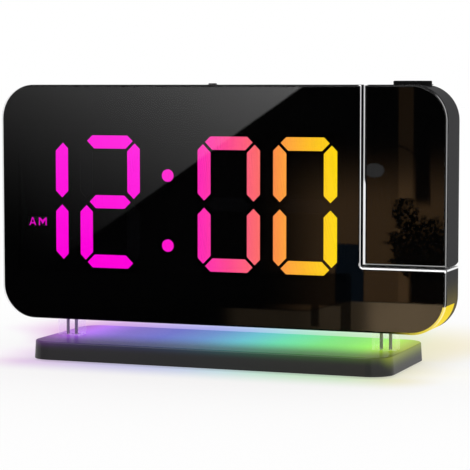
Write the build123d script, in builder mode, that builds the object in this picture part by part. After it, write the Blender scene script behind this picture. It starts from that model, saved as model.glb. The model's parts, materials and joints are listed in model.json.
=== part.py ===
"""Mirror projection alarm clock: L-shaped mirror on two clear legs, with a projector arm that tilts back.

Millimetres. X to the right seen from the front, Y to the rear, Z up. The origin is the middle of the
base's underside.
"""

import os
from math import sqrt

from build123d import *

os.makedirs("parts", exist_ok=True)

# Clearances used throughout
overrun = 1.0
laid_gap = 0.1
thread_gap = 0.02
running_gap = 0.03
hole_gap = 0.2
edge_tolerance = 0.01

# Clock body
body_width = 190.0
body_height = 96.8
body_depth = 22.0
body_corner_radius = 14.0
casing_wall = 2.0
rear_edge_radius = 2.5
rim_width = 4.5
lip_reach = 2.0
lip_thickness = 1.6
mirror_thickness = 2.0
bevel_width = 0.9
bevel_depth = 0.45
notch_corner_radius = 0.8

# Projector arm
arm_width = 33.3
ledge_height = 25.6
arm_gap = 0.8
arm_wall = 1.8
arm_side_bevel_width = 1.5
pivot_place_share = 0.28
pivot_setback = 8.2

# Hinge of the arm
shaft_radius = 2.0
shaft_bore_radius = 1.0
shaft_tail = 0.6
hinge_boss_radius = 3.6
hinge_boss_length = 5.5
bush_radius = 2.9
bush_flange_radius = 3.9
bush_flange_thickness = 0.8
washer_radius = 3.6
washer_thickness = 0.5
clip_radius = 3.3
clip_thickness = 0.6
clip_groove = 0.4
clip_mouth = 2.0

# Stand
base_inset = 19.1
base_depth = 58.2
base_height = 7.4
base_corner_radius = 8.8
base_spread = 0.45
base_wall = 2.4
base_top_thickness = 2.4
base_edge_radius = 0.6
bottom_plate_thickness = 2.0
pad_thickness = 1.0
pad_proud = 0.5
pad_margin = 9.0
pad_corner_radius = 6.0
body_setback = 14.6
leg_width = 10.0
leg_depth = 7.6
leg_height = 7.5
leg_corner_radius = 1.2
leg_inset = 7.7
leg_setback = 11.0
pin_radius = 0.65
pin_spacing = 3.8
pin_head_radius = 1.5
pin_head_height = 1.1
pin_hold = 5.0
pin_well_margin = 1.5
anchor_width = 13.0
anchor_height = 6.4
anchor_margin = 2.6
base_screw_side_inset = 17.0
base_screw_end_inset = 13.0
base_boss_radius = 2.6

# Screws of the back cover, the base, the projector housing and the battery door
screw_radius = 0.9
screw_head_radius = 1.8
screw_head_height = 1.0
screw_length = 5.0
base_screw_length = 4.2
housing_screw_length = 3.8
slot_width = 0.4
slot_depth = 0.5
boss_radius = 2.8
boss_length = 5.6
boss_inset = 8.4

# Light strip along the lower edge
strip_depth = 13.0
strip_rise = 11.5
strip_led_count = 20
strip_led_side = 3.0
strip_led_thickness = 1.2
flex_width = 5.0
flex_thickness = 0.3
flex_inset = 0.3

# Digits
digit_gap = 5.6
digit_height = 54.3
digit_side_stroke = 5.45
digit_bar_stroke = 5.3
digit_joint = 0.95
digit_corner_cut = 5.4
digit_middle_gap = 1.5
digit_middle_inset = 4.2
digit_pitch_share = 0.2113
hours_place_share = -0.1949
minutes_place_share = 0.1463
dot_radius = 2.5
dot_spread = 28.4
dots_drop = 3.0
dots_place_share = -0.0269
letter_height = 3.3
letter_width = 3.6
letter_stroke = 0.56
letter_space = 1.0
pointed_letter_share = 0.88
letter_drop = 8.7
letter_gap = 4.4
letter_window_margin = 0.4
display_rise = 0.55
reflector_depth = 5.4
reflector_border = 3.6
segment_thickness = 1.4

# Main board and what it carries
board_thickness = 1.6
board_edge_gap = 10.4
board_end_gap = 0.6
led_width = 1.6
led_height = 0.8
led_thickness = 0.6
chip_side = 10.0
chip_thickness = 1.4
chip_place_share = -0.3
crystal_radius = 1.5
crystal_length = 8.0
crystal_spacing = 3.0
buzzer_radius = 6.0
buzzer_height = 5.5
buzzer_hole_radius = 1.0
buzzer_hole_depth = 1.5
buzzer_drop = 17.0
buzzer_place_share = -0.06
grille_hole_radius = 0.7
grille_ring_radius = 3.0
grille_hole_count = 6
socket_width = 6.0
socket_height = 5.0
socket_depth = 6.6
socket_gap = 5.0
lead_hold = 2.0

# Rear keys, top button and their switches
key_count = 5
key_pitch = 15.0
key_rise = 20.0
key_row_inset = 33.8
key_radius = 3.2
key_proud = 0.9
key_travel = 0.6
key_flange_reach = 1.0
key_flange_thickness = 0.9
key_stem_radius = 1.2
key_stem_entry = 0.4
key_edge_radius = 0.4
switch_side = 6.0
switch_height = 5.0
top_button_x = -5.1
top_button_radius = 1.75
top_button_proud = 0.6
top_button_dome = 0.45
top_button_travel = 0.4
top_button_flange_reach = 1.2
top_button_flange_thickness = 0.9
top_switch_width = 6.0
top_switch_height = 4.2
top_switch_depth = 4.4

# Power inlet in the back
inlet_width = 8.94
inlet_height = 3.26
inlet_wall = 0.35
inlet_floor = 1.0
inlet_recess = 0.8
inlet_tongue_width = 6.6
inlet_tongue_thickness = 0.7
inlet_tongue_recess = 0.9
inlet_drop = 25.0
inlet_place_share = -0.33

# Backup cell and its door
cell_radius = 10.0
cell_thickness = 3.2
cell_room = 0.3
cell_drop = 18.0
cell_place_share = 0.2
cup_wall = 1.4
cup_floor = 1.2
contact_thickness = 0.25
contact_width = 4.0
contact_length = 12.0
door_thickness = 1.2
door_margin = 2.4
door_corner_radius = 3.0
door_tail = 8.0
door_screw_length = 4.4
door_boss_radius = 2.6
door_boss_length = 4.6

# Projector inside the arm
focus_room = 0.7
focus_proud = 1.5
focus_height = 8.5
focus_flange_reach = 0.9
focus_flange_thickness = 1.2
focus_seat = 3.7
focus_pad_width = 20.0
focus_groove_count = 44
focus_groove_radius = 0.28
focus_edge_radius = 0.4
focus_wall = 2.0
barrel_head_length = 5.6
barrel_recess = 1.2
sleeve_wall = 1.1
sleeve_step = 1.0
sleeve_length = 9.6
barrel_key_width = 1.2
barrel_key_height = 0.5
lens_seat_wall = 1.2
lens_edge = 1.2
lens_dome = 0.7
lens_recess = 0.9
tube_wall = 1.4
tube_length = 11.0
chamber_room = 1.4
chamber_wall = 1.3
chamber_height = 13.0
chamber_ceiling = 1.5
lcd_step = 0.7
lcd_thickness = 1.2
lcd_room_height = 3.6
condenser_edge = 1.2
condenser_dome = 1.6
spacer_wall = 1.0
foot_width = 10.0
foot_screw_spacing = 6.0
projector_board_thickness = 1.2
projector_led_side = 3.5
projector_led_thickness = 1.6
lead_radius = 0.7
lead_bend_radius = 3.0
lead_offset = 4.0

# Places that follow from the sizes
base_width = body_width - 2 * base_inset
base_top_z = pad_proud + base_height
cavity_height = base_height - base_top_thickness
cavity_top_z = pad_proud + cavity_height
plate_top_z = pad_proud + bottom_plate_thickness
body_bottom_z = base_top_z + leg_height
body_mid_z = body_bottom_z + body_height / 2
body_top_z = body_bottom_z + body_height
front_y = body_setback - base_depth / 2
leg_y = front_y + leg_setback
leg_spacing = base_width - 2 * leg_inset
base_screw_spacing_x = base_width - 2 * base_screw_side_inset
base_screw_spacing_y = base_depth - 2 * base_screw_end_inset
arm_height = body_height - ledge_height - arm_gap
arm_left = body_width / 2 - arm_width
arm_bottom = body_height / 2 - arm_height
arm_mid_x = body_width / 2 - arm_width / 2
notch_x = arm_left - arm_gap
ledge = arm_bottom - arm_gap
notch_inside_x = notch_x - casing_wall
pivot_height = pivot_place_share * arm_height
pivot_y = front_y + body_depth - pivot_setback
pivot_z = body_mid_z + arm_bottom + pivot_height
cover_thickness = casing_wall
cover_inset = rim_width + laid_gap
cover_inside = body_depth - cover_thickness
strip_back = mirror_thickness + strip_depth
reflector_back = mirror_thickness + reflector_depth
board_back = reflector_back + board_thickness

# Display span between the left wall and the hinge
bush_inside_x = notch_inside_x - bush_flange_thickness
washer_inside_x = bush_inside_x - washer_thickness
clip_inside_x = washer_inside_x - clip_thickness
shaft_end_x = clip_inside_x - shaft_tail
span_left = casing_wall - body_width / 2
display_span = notch_inside_x - span_left
display_x = span_left + display_span / 2
board_right = shaft_end_x - board_end_gap
board_width = 2 * (board_right - display_x)
board_height = body_height - 2 * board_edge_gap
digit_pitch = digit_pitch_share * display_span
digit_width = digit_pitch - digit_gap
hours_x = display_x + hours_place_share * display_span
minutes_x = display_x + minutes_place_share * display_span
digit_places = [hours_x - digit_pitch, hours_x, minutes_x, minutes_x + digit_pitch]
letters_width = 2 * letter_width + letter_space
first_bar_left = digit_places[0] + digit_width / 2 - digit_side_stroke
dots_x = display_x + dots_place_share * display_span
letter_x = first_bar_left - letter_gap - letters_width / 2
key_places = [
    (span_left + key_row_inset + index * key_pitch, display_rise + key_rise)
    for index in range(key_count)
]
buzzer_place = (display_x + buzzer_place_share * display_span, display_rise - buzzer_drop)
cell_place = (display_x + cell_place_share * display_span, display_rise - cell_drop)
inlet_place = (display_x + inlet_place_share * display_span, display_rise - inlet_drop)
chip_place = (display_x + chip_place_share * display_span, display_rise)
boss_places = [
    (boss_inset - body_width / 2, body_height / 2 - body_corner_radius),
    (boss_inset - body_width / 2, body_corner_radius - body_height / 2),
    (display_x, body_height / 2 - boss_inset),
    (notch_x - boss_inset, body_height / 2 - boss_inset),
    (body_width / 2 - boss_inset, body_corner_radius - body_height / 2),
    (0, boss_inset - body_height / 2),
]
pin_places = [
    (side * leg_spacing / 2 + end * pin_spacing / 2, leg_y)
    for side in (-1, 1)
    for end in (-1, 1)
]

# Heights on the lens axis
arm_room = (body_depth - arm_wall - mirror_thickness) / 2
lens_depth = mirror_thickness + arm_room
lens_y = front_y + lens_depth
focus_radius = arm_room - focus_flange_reach - focus_room
barrel_radius = focus_radius - focus_wall
sleeve_radius = barrel_radius - sleeve_step
barrel_bore_radius = sleeve_radius - sleeve_wall
lens_radius = barrel_radius - lens_seat_wall
tube_radius = sleeve_radius + tube_wall
chamber_radius = arm_room - chamber_room
condenser_radius = chamber_radius - chamber_wall
lcd_room_radius = condenser_radius - lcd_step
lcd_side = sqrt(2) * (lcd_room_radius - laid_gap)
projector_board_side = 2 * chamber_radius
focus_top_z = body_top_z + focus_proud
focus_bottom_z = focus_top_z - focus_height
focus_seat_z = body_top_z - focus_seat
flange_top_z = focus_seat_z - laid_gap
barrel_top_z = focus_top_z - barrel_recess
barrel_shoulder_z = barrel_top_z - barrel_head_length
lens_top_z = barrel_top_z - lens_recess
tube_top_z = focus_bottom_z - laid_gap
chamber_top_z = tube_top_z - tube_length
lcd_top_z = chamber_top_z - chamber_ceiling
condenser_top_z = lcd_top_z - lcd_room_height
chamber_bottom_z = chamber_top_z - chamber_height
condenser_bottom_z = condenser_top_z - condenser_edge
projector_board_z = chamber_bottom_z - projector_board_thickness
foot_reach = body_depth - arm_wall - lens_depth
door_length = 2 * (cell_radius + door_margin) + door_tail
door_height = 2 * (cell_radius + door_margin)
door_x = cell_place[0] + door_tail / 2
door_screw_x = cell_place[0] + cell_radius + door_margin + door_tail / 2
cell_back = body_depth - door_thickness - laid_gap
cup_bottom = cell_back - cell_thickness - contact_thickness - cell_room


def layer(depth):
    """Plane parallel to the mirror at a depth behind its front, centred on the body and facing forwards."""
    return Plane(origin=(0, front_y + depth, body_mid_z), x_dir=(1, 0, 0), z_dir=(0, -1, 0))


def rear_plane(place, depth):
    """Plane at a place of the body and a depth behind the mirror's front, facing forwards into the body."""
    return Plane(origin=(place[0], front_y + depth, body_mid_z + place[1]), x_dir=(1, 0, 0), z_dir=(0, -1, 0))


def pivot_plane(x):
    """Plane across the hinge axis at x, facing right."""
    return Plane(origin=(x, pivot_y, pivot_z), x_dir=(0, 1, 0), z_dir=(1, 0, 0))


def lens_plane(height):
    """Level plane on the lens axis at a height."""
    return Plane(origin=(arm_mid_x, lens_y, height))


def body_face(inset):
    """L-shaped outline of the body, drawn in by inset, without the arm's corner."""
    with BuildSketch(mode=Mode.PRIVATE) as outline:
        RectangleRounded(body_width - 2 * inset, body_height - 2 * inset, body_corner_radius - inset)
        with Locations((notch_x - inset, ledge - inset)):
            Rectangle(body_width, body_height, align=(Align.MIN, Align.MIN), mode=Mode.SUBTRACT)
    return outline.sketch


def arm_face(inset):
    """Outline of the projector arm, drawn in by inset."""
    with BuildSketch(mode=Mode.PRIVATE) as outline:
        RectangleRounded(body_width - 2 * inset, body_height - 2 * inset, body_corner_radius - inset)
        with Locations((arm_left + inset, arm_bottom + inset)):
            Rectangle(body_width, body_height, align=(Align.MIN, Align.MIN), mode=Mode.INTERSECT)
    return outline.sketch


def heel_profile(radius):
    """What lies behind and below the hinge axis outside an arc about it, cut from the arm's heel."""
    with BuildSketch(mode=Mode.PRIVATE) as profile:
        Rectangle(body_depth, 2 * pivot_height, align=(Align.MIN, Align.MAX))
        Circle(radius, mode=Mode.SUBTRACT)
    return profile.sketch


def end_bar(sign):
    """Top bar of a digit with sign 1, bottom bar with sign -1."""
    half_width = digit_width / 2
    half_height = digit_height / 2
    tip_in = (digit_corner_cut + digit_joint) / 2
    tip_down = (digit_corner_cut - digit_joint) / 2
    corner_in = digit_bar_stroke + digit_joint
    return [
        (tip_in - half_width, sign * (half_height - tip_down)),
        (digit_corner_cut - half_width, sign * half_height),
        (half_width - digit_corner_cut, sign * half_height),
        (half_width - tip_in, sign * (half_height - tip_down)),
        (half_width - corner_in, sign * (half_height - digit_bar_stroke)),
        (corner_in - half_width, sign * (half_height - digit_bar_stroke)),
    ]


def side_bar(side, sign):
    """Upright of a digit: side 1 is the right one, sign 1 the upper one."""
    half_width = digit_width / 2
    half_height = digit_height / 2
    tip_in = (digit_corner_cut - digit_joint) / 2
    tip_down = (digit_corner_cut + digit_joint) / 2
    shoulder = digit_middle_gap + digit_side_stroke / 2
    return [
        (side * (half_width - tip_in), sign * (half_height - tip_down)),
        (side * half_width, sign * (half_height - digit_corner_cut)),
        (side * half_width, sign * shoulder),
        (side * (half_width - digit_side_stroke / 2), sign * digit_middle_gap),
        (side * (half_width - digit_side_stroke), sign * shoulder),
        (side * (half_width - digit_side_stroke), sign * (half_height - digit_side_stroke - digit_joint)),
    ]


def middle_bar():
    """Middle bar of a digit."""
    tip = digit_width / 2 - digit_middle_inset
    half_bar = digit_bar_stroke / 2
    return [
        (-tip, 0),
        (half_bar - tip, half_bar),
        (tip - half_bar, half_bar),
        (tip, 0),
        (tip - half_bar, -half_bar),
        (half_bar - tip, -half_bar),
    ]


# Outlines of the seven bars by their usual letters
digit_bars = {
    "a": end_bar(1),
    "b": side_bar(1, 1),
    "c": side_bar(1, -1),
    "d": end_bar(-1),
    "e": side_bar(-1, -1),
    "f": side_bar(-1, 1),
    "g": middle_bar(),
}
# The first place only ever shows a one, so it has two bars
digit_windows = ["bc", "abcdefg", "abcdefg", "abcdefg"]
digits_lit = ["bc", "abged", "abcdef", "abcdef"]


def digit_segments(shown):
    """Draw the named bars of the four digits."""
    for place, bars in zip(digit_places, shown):
        for bar in bars:
            with Locations((place, display_rise)):
                Polygon(*digit_bars[bar], align=None)


def colon_dots(radius):
    """Draw the two dots of the colon."""
    with Locations((dots_x, display_rise - dots_drop)):
        with GridLocations(0, dot_spread, 1, 2):
            Circle(radius)


def display_letters():
    """Draw the two letters left of the first digit from straight strokes."""
    half = letter_width / 2
    low = -letter_height / 2
    high = letter_height / 2
    step = (letter_width + letter_space) / 2
    mid = (half - letter_stroke) / 2
    foot = pointed_letter_share * half
    with Locations((letter_x - step, display_rise - letter_drop)):
        Polygon((-foot, low), (-letter_stroke / 2, high), (letter_stroke / 2, high), (foot, low),
                (foot - letter_stroke, low), (0, high - letter_stroke), (letter_stroke - foot, low),
                align=None)
        with Locations((0, low / 4)):
            Rectangle(foot + letter_stroke / 2, letter_stroke, align=(Align.CENTER, Align.MAX))
    with Locations((letter_x + step, display_rise - letter_drop)):
        Polygon((-half, low), (-half, high), (letter_stroke - half, high), (0, mid),
                (half - letter_stroke, high), (half, high), (half, low), (half - letter_stroke, low),
                (half - letter_stroke, mid), (0, low + letter_stroke), (letter_stroke - half, mid),
                (letter_stroke - half, low), align=None)


def screw(length):
    """Countersunk screw from the top of its head along the local Z, with a cross in the head."""
    Cone(screw_head_radius, screw_radius, screw_head_height, align=(Align.CENTER, Align.CENTER, Align.MIN))
    Cylinder(screw_radius, length, align=(Align.CENTER, Align.CENTER, Align.MIN))
    lowest = (Align.CENTER, Align.CENTER, Align.MIN)
    Box(2 * screw_radius, slot_width, slot_depth, align=lowest, mode=Mode.SUBTRACT)
    Box(slot_width, 2 * screw_radius, slot_depth, align=lowest, mode=Mode.SUBTRACT)


def screw_hole(length):
    """Countersunk clearance hole for a screw, from the face along the local Z."""
    lowest = (Align.CENTER, Align.CENTER, Align.MIN)
    Cone(screw_head_radius + thread_gap, screw_radius + thread_gap, screw_head_height, align=lowest,
         mode=Mode.SUBTRACT)
    Cylinder(screw_radius + thread_gap, length, align=lowest, mode=Mode.SUBTRACT)


def keep(builder, name):
    """Label a finished piece and write it."""
    builder.part.label = name
    export_step(builder.part, f"parts/{name}.step")


# Mirror of the body, bevelled all round its front
with BuildPart() as mirror_panel:
    with BuildSketch(layer(mirror_thickness)):
        add(body_face(0))
    extrude(amount=mirror_thickness)
    corner = (notch_x, front_y, body_mid_z + ledge)
    fillet(mirror_panel.edges().filter_by(Axis.Y).sort_by_distance(corner)[0], notch_corner_radius)
    front_face = mirror_panel.faces().sort_by(Axis.Y)[0]
    chamfer(front_face.edges(), length=bevel_width, length2=bevel_depth, reference=front_face)
keep(mirror_panel, "mirror_panel")

# Casing: wall round the body, a lip and rim that hold the back cover, screw bosses and leg anchors
with BuildPart() as casing:
    with BuildSketch(layer(body_depth)):
        add(body_face(0))
        add(body_face(casing_wall), mode=Mode.SUBTRACT)
    extrude(amount=body_depth - mirror_thickness)
    with BuildSketch(layer(body_depth)):
        add(body_face(0))
        add(body_face(rim_width), mode=Mode.SUBTRACT)
    extrude(amount=cover_thickness)
    with BuildSketch(layer(cover_inside)):
        add(body_face(0))
        add(body_face(rim_width + lip_reach), mode=Mode.SUBTRACT)
    extrude(amount=lip_thickness)
    rear_edges = casing.faces().sort_by(Axis.Y)[-1].outer_wire().edges()
    outer_edges = [
        edge for edge in rear_edges
        if edge.center().X < notch_x - edge_tolerance
        or edge.center().Z < body_mid_z + ledge - edge_tolerance
    ]
    fillet(outer_edges, rear_edge_radius)
    with BuildSketch(layer(cover_inside)):
        with Locations(*boss_places):
            Circle(boss_radius)
    extrude(amount=boss_length)
    with BuildSketch(layer(cover_inside)):
        with Locations(*boss_places):
            Circle(screw_radius + thread_gap)
    extrude(amount=boss_length, mode=Mode.SUBTRACT)
    with BuildSketch(layer(strip_back)):
        with Locations((0, -body_height / 2)):
            Rectangle(body_width + overrun, 2 * strip_rise)
    extrude(amount=strip_depth + overrun, mode=Mode.SUBTRACT)
    with BuildSketch(layer(cover_inside - lip_thickness)):
        with Locations((0, casing_wall - body_height / 2)):
            with GridLocations(leg_spacing, 0, 2, 1):
                Rectangle(anchor_width, anchor_height, align=(Align.CENTER, Align.MIN))
    extrude(amount=cover_inside - lip_thickness - leg_setback + anchor_margin)
    with BuildSketch(Plane.XY.offset(body_bottom_z)):
        with Locations(*pin_places):
            Circle(pin_radius + thread_gap)
    extrude(amount=casing_wall + pin_hold + laid_gap, mode=Mode.SUBTRACT)
    with BuildSketch(Plane.XY.offset(body_top_z)):
        with Locations((top_button_x, front_y + board_back + top_switch_depth / 2)):
            Circle(top_button_radius + hole_gap)
    extrude(amount=-casing_wall, mode=Mode.SUBTRACT)
    with BuildSketch(pivot_plane(notch_inside_x)):
        Circle(bush_radius + thread_gap)
    extrude(amount=casing_wall, mode=Mode.SUBTRACT)
keep(casing, "casing")

# Back cover: flush plate with a cup for the backup cell and holes for keys, inlet, sound and screws
with BuildPart() as back_cover:
    with BuildSketch(layer(body_depth)):
        add(body_face(cover_inset))
    extrude(amount=cover_thickness)
    with BuildSketch(layer(cover_inside)):
        with Locations(cell_place):
            Circle(cell_radius + cell_room + cup_wall)
    extrude(amount=cover_inside - cup_bottom + cup_floor)
    with BuildSketch(layer(cover_inside)):
        with Locations((door_screw_x, cell_place[1])):
            Circle(door_boss_radius)
    extrude(amount=door_boss_length)
    with BuildSketch(layer(body_depth)):
        with Locations((door_x, cell_place[1])):
            RectangleRounded(door_length + 2 * laid_gap, door_height + 2 * laid_gap,
                             door_corner_radius + laid_gap)
    extrude(amount=door_thickness, mode=Mode.SUBTRACT)
    with BuildSketch(layer(body_depth)):
        with Locations(cell_place):
            Circle(cell_radius + cell_room)
    extrude(amount=body_depth - cup_bottom, mode=Mode.SUBTRACT)
    with BuildSketch(layer(body_depth)):
        with Locations((door_screw_x, cell_place[1])):
            Circle(screw_radius + thread_gap)
        with Locations(*key_places):
            Circle(key_radius + hole_gap)
        with Locations(inlet_place):
            RectangleRounded(inlet_width + 2 * hole_gap, inlet_height + 2 * hole_gap, inlet_height / 2)
        with Locations(buzzer_place):
            Circle(grille_hole_radius)
            with PolarLocations(grille_ring_radius, grille_hole_count):
                Circle(grille_hole_radius)
    extrude(amount=cover_thickness + door_boss_length, mode=Mode.SUBTRACT)
    with Locations(*[rear_plane(place, body_depth) for place in boss_places]):
        screw_hole(cover_thickness)
keep(back_cover, "back_cover")

with BuildPart() as back_cover_screws:
    with Locations(*[rear_plane(place, body_depth) for place in boss_places]):
        screw(screw_length)
keep(back_cover_screws, "back_cover_screws")

# Light strip: clear diffuser in the casing's lower edge, LEDs on it and their flexible board
with BuildPart() as light_strip:
    with BuildSketch(layer(strip_back - laid_gap)):
        add(body_face(0))
        add(body_face(casing_wall), mode=Mode.SUBTRACT)
        with Locations((0, -body_height / 2)):
            Rectangle(body_width + overrun, 2 * (strip_rise - laid_gap), mode=Mode.INTERSECT)
    extrude(amount=strip_depth - laid_gap)
    with BuildSketch(Plane.XY.offset(body_bottom_z)):
        with Locations(*pin_places):
            Circle(pin_radius + hole_gap)
    extrude(amount=casing_wall, mode=Mode.SUBTRACT)
keep(light_strip, "light_strip")

flex_length = body_width - 2 * body_corner_radius
flex_y = front_y + mirror_thickness + flex_inset + flex_width / 2
strip_led_z = body_bottom_z + casing_wall
with BuildPart() as light_strip_leds:
    with BuildSketch(Plane.XY.offset(strip_led_z)):
        with Locations((0, flex_y)):
            with GridLocations(flex_length / strip_led_count, 0, strip_led_count, 1):
                Rectangle(strip_led_side, strip_led_side)
    extrude(amount=strip_led_thickness)
keep(light_strip_leds, "light_strip_leds")

with BuildPart() as light_strip_flex:
    with BuildSketch(Plane.XY.offset(strip_led_z + strip_led_thickness)):
        with Locations((0, flex_y)):
            Rectangle(flex_length, flex_width)
    extrude(amount=flex_thickness)
keep(light_strip_flex, "light_strip_flex")

# Display: black reflector with a window for each bar, and the lenses in its windows
with BuildPart() as digit_reflector:
    with BuildSketch(layer(reflector_back)):
        with Locations((display_x, display_rise)):
            Rectangle(board_width, digit_height + 2 * reflector_border)
    extrude(amount=reflector_depth)
    with BuildSketch(layer(reflector_back)):
        digit_segments(digit_windows)
        offset(amount=laid_gap, kind=Kind.INTERSECTION)
        colon_dots(dot_radius + laid_gap)
        with Locations((letter_x, display_rise - letter_drop)):
            Rectangle(letters_width + 2 * letter_window_margin, letter_height + 2 * letter_window_margin)
    extrude(amount=reflector_depth, mode=Mode.SUBTRACT)
keep(digit_reflector, "digit_reflector")

with BuildPart() as digit_segments_lit:
    with BuildSketch(layer(mirror_thickness + segment_thickness)):
        digit_segments(digits_lit)
    extrude(amount=segment_thickness)
keep(digit_segments_lit, "digit_segments_lit")

with BuildPart() as digit_segments_unlit:
    with BuildSketch(layer(mirror_thickness + segment_thickness)):
        digit_segments([set(windows) - set(lit) for windows, lit in zip(digit_windows, digits_lit)])
    extrude(amount=segment_thickness)
keep(digit_segments_unlit, "digit_segments_unlit")

with BuildPart() as colon:
    with BuildSketch(layer(mirror_thickness + segment_thickness)):
        colon_dots(dot_radius)
    extrude(amount=segment_thickness)
keep(colon, "colon")

with BuildPart() as am_indicator:
    with BuildSketch(layer(mirror_thickness + segment_thickness)):
        display_letters()
    extrude(amount=segment_thickness)
keep(am_indicator, "am_indicator")

# Main board behind the reflector
with BuildPart() as main_board:
    with BuildSketch(layer(board_back)):
        with Locations((display_x, display_rise)):
            Rectangle(board_width, board_height)
    extrude(amount=board_thickness)
keep(main_board, "main_board")

with BuildPart() as display_leds:
    with BuildSketch(layer(reflector_back)):
        for place, bars in zip(digit_places, digit_windows):
            for bar in bars:
                points = digit_bars[bar]
                middle = (sum(x for x, y in points) / len(points), sum(y for x, y in points) / len(points))
                with Locations((place + middle[0], display_rise + middle[1])):
                    Rectangle(led_width, led_height)
        with Locations((dots_x, display_rise - dots_drop)):
            with GridLocations(0, dot_spread, 1, 2):
                Rectangle(led_width, led_height)
        with Locations((letter_x, display_rise - letter_drop)):
            Rectangle(led_width, led_height)
    extrude(amount=led_thickness)
keep(display_leds, "display_leds")

with BuildPart() as controller_chip:
    with BuildSketch(layer(board_back + chip_thickness)):
        with Locations(chip_place):
            Rectangle(chip_side, chip_side)
    extrude(amount=chip_thickness)
keep(controller_chip, "controller_chip")

crystal_x = chip_place[0] + chip_side / 2 + crystal_spacing + crystal_radius
with BuildPart() as clock_crystal:
    with BuildSketch(layer(board_back + 2 * crystal_radius)):
        with Locations((crystal_x, chip_place[1])):
            SlotOverall(crystal_length, 2 * crystal_radius, rotation=90)
    extrude(amount=2 * crystal_radius)
keep(clock_crystal, "clock_crystal")

with BuildPart() as buzzer:
    with BuildSketch(layer(board_back + buzzer_height)):
        with Locations(buzzer_place):
            Circle(buzzer_radius)
    extrude(amount=buzzer_height)
    with BuildSketch(layer(board_back + buzzer_height)):
        with Locations(buzzer_place):
            Circle(buzzer_hole_radius)
    extrude(amount=buzzer_hole_depth, mode=Mode.SUBTRACT)
keep(buzzer, "buzzer")

lead_socket_right = board_right - socket_gap
with BuildPart() as lead_socket:
    with BuildSketch(layer(board_back + socket_depth)):
        with Locations((lead_socket_right, pivot_z - body_mid_z)):
            Rectangle(socket_width, socket_height, align=(Align.MAX, Align.CENTER))
    extrude(amount=socket_depth)
    with BuildSketch(pivot_plane(lead_socket_right)):
        Circle(lead_radius + laid_gap)
    extrude(amount=-lead_hold - laid_gap, mode=Mode.SUBTRACT)
keep(lead_socket, "lead_socket")

# Rear keys, each over a switch on the board
switch_back = board_back + switch_height
key_flange_back = cover_inside - laid_gap
switch_bore_depth = key_stem_entry + key_travel + hole_gap
with BuildPart() as tact_switches:
    with BuildSketch(layer(switch_back)):
        with Locations(*key_places):
            Rectangle(switch_side, switch_side)
    extrude(amount=switch_height)
    with BuildSketch(layer(switch_back)):
        with Locations(*key_places):
            Circle(key_stem_radius + hole_gap)
    extrude(amount=switch_bore_depth, mode=Mode.SUBTRACT)
keep(tact_switches, "tact_switches")


# One key at a time: cap through the cover, flange behind it and stem into its switch
key_names = ["key_mode", "key_up", "key_down", "key_alarm", "key_projector"]
for key_name, key_place in zip(key_names, key_places):
    with BuildPart() as key:
        with BuildSketch(layer(body_depth + key_proud)):
            with Locations(key_place):
                Circle(key_radius)
        extrude(amount=body_depth + key_proud - key_flange_back)
        fillet(key.faces().sort_by(Axis.Y)[-1].edges(), key_edge_radius)
        with BuildSketch(layer(key_flange_back)):
            with Locations(key_place):
                Circle(key_radius + key_flange_reach)
        extrude(amount=key_flange_thickness)
        with BuildSketch(layer(key_flange_back)):
            with Locations(key_place):
                Circle(key_stem_radius)
        extrude(amount=key_flange_back - switch_back + key_stem_entry)
    keep(key, key_name)

# Top button over a switch at the board's upper edge
top_switch_y = front_y + board_back
top_switch_z = body_mid_z + display_rise + board_height / 2
button_y = top_switch_y + top_switch_depth / 2
flange_z = body_top_z - casing_wall - laid_gap
stem_z = top_switch_z - key_stem_entry
with BuildPart() as top_switch:
    with BuildSketch(Plane.XY.offset(top_switch_z)):
        with Locations((top_button_x, button_y)):
            Rectangle(top_switch_width, top_switch_depth)
    extrude(amount=-top_switch_height)
    with BuildSketch(Plane.XY.offset(top_switch_z)):
        with Locations((top_button_x, button_y)):
            Circle(key_stem_radius + hole_gap)
    extrude(amount=-key_stem_entry - top_button_travel - hole_gap, mode=Mode.SUBTRACT)
keep(top_switch, "top_switch")

with BuildPart() as top_button:
    with BuildSketch(Plane.XY.offset(stem_z)):
        with Locations((top_button_x, button_y)):
            Circle(key_stem_radius)
    extrude(amount=flange_z - stem_z)
    with BuildSketch(Plane.XY.offset(flange_z)):
        with Locations((top_button_x, button_y)):
            Circle(top_button_radius + top_button_flange_reach)
    extrude(amount=-top_button_flange_thickness)
    with BuildSketch(Plane.XY.offset(flange_z)):
        with Locations((top_button_x, button_y)):
            Circle(top_button_radius)
    extrude(amount=body_top_z + top_button_proud - flange_z)
    fillet(top_button.faces().sort_by(Axis.Z)[-1].edges(), top_button_dome)
keep(top_button, "top_button")

# Power inlet standing on the board, mouth just inside the back cover
inlet_back = body_depth - inlet_recess
with BuildPart() as inlet_shell:
    with BuildSketch(layer(inlet_back)):
        with Locations(inlet_place):
            RectangleRounded(inlet_width, inlet_height, inlet_height / 2 - inlet_wall / 2)
    extrude(amount=inlet_back - board_back)
    with BuildSketch(layer(inlet_back)):
        with Locations(inlet_place):
            RectangleRounded(inlet_width - 2 * inlet_wall, inlet_height - 2 * inlet_wall,
                             inlet_height / 2 - 3 * inlet_wall / 2)
    extrude(amount=inlet_back - board_back - inlet_floor, mode=Mode.SUBTRACT)
keep(inlet_shell, "inlet_shell")

with BuildPart() as inlet_tongue:
    with BuildSketch(layer(inlet_back - inlet_tongue_recess)):
        with Locations(inlet_place):
            Rectangle(inlet_tongue_width, inlet_tongue_thickness)
    extrude(amount=inlet_back - inlet_tongue_recess - board_back - inlet_floor)
keep(inlet_tongue, "inlet_tongue")

# Backup cell in its cup, contacts, door and door screw
with BuildPart() as cell_contacts:
    with BuildSketch(layer(cup_bottom + contact_thickness)):
        with Locations(cell_place):
            Rectangle(contact_length, contact_width)
    extrude(amount=contact_thickness)
keep(cell_contacts, "cell_contacts")

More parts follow.
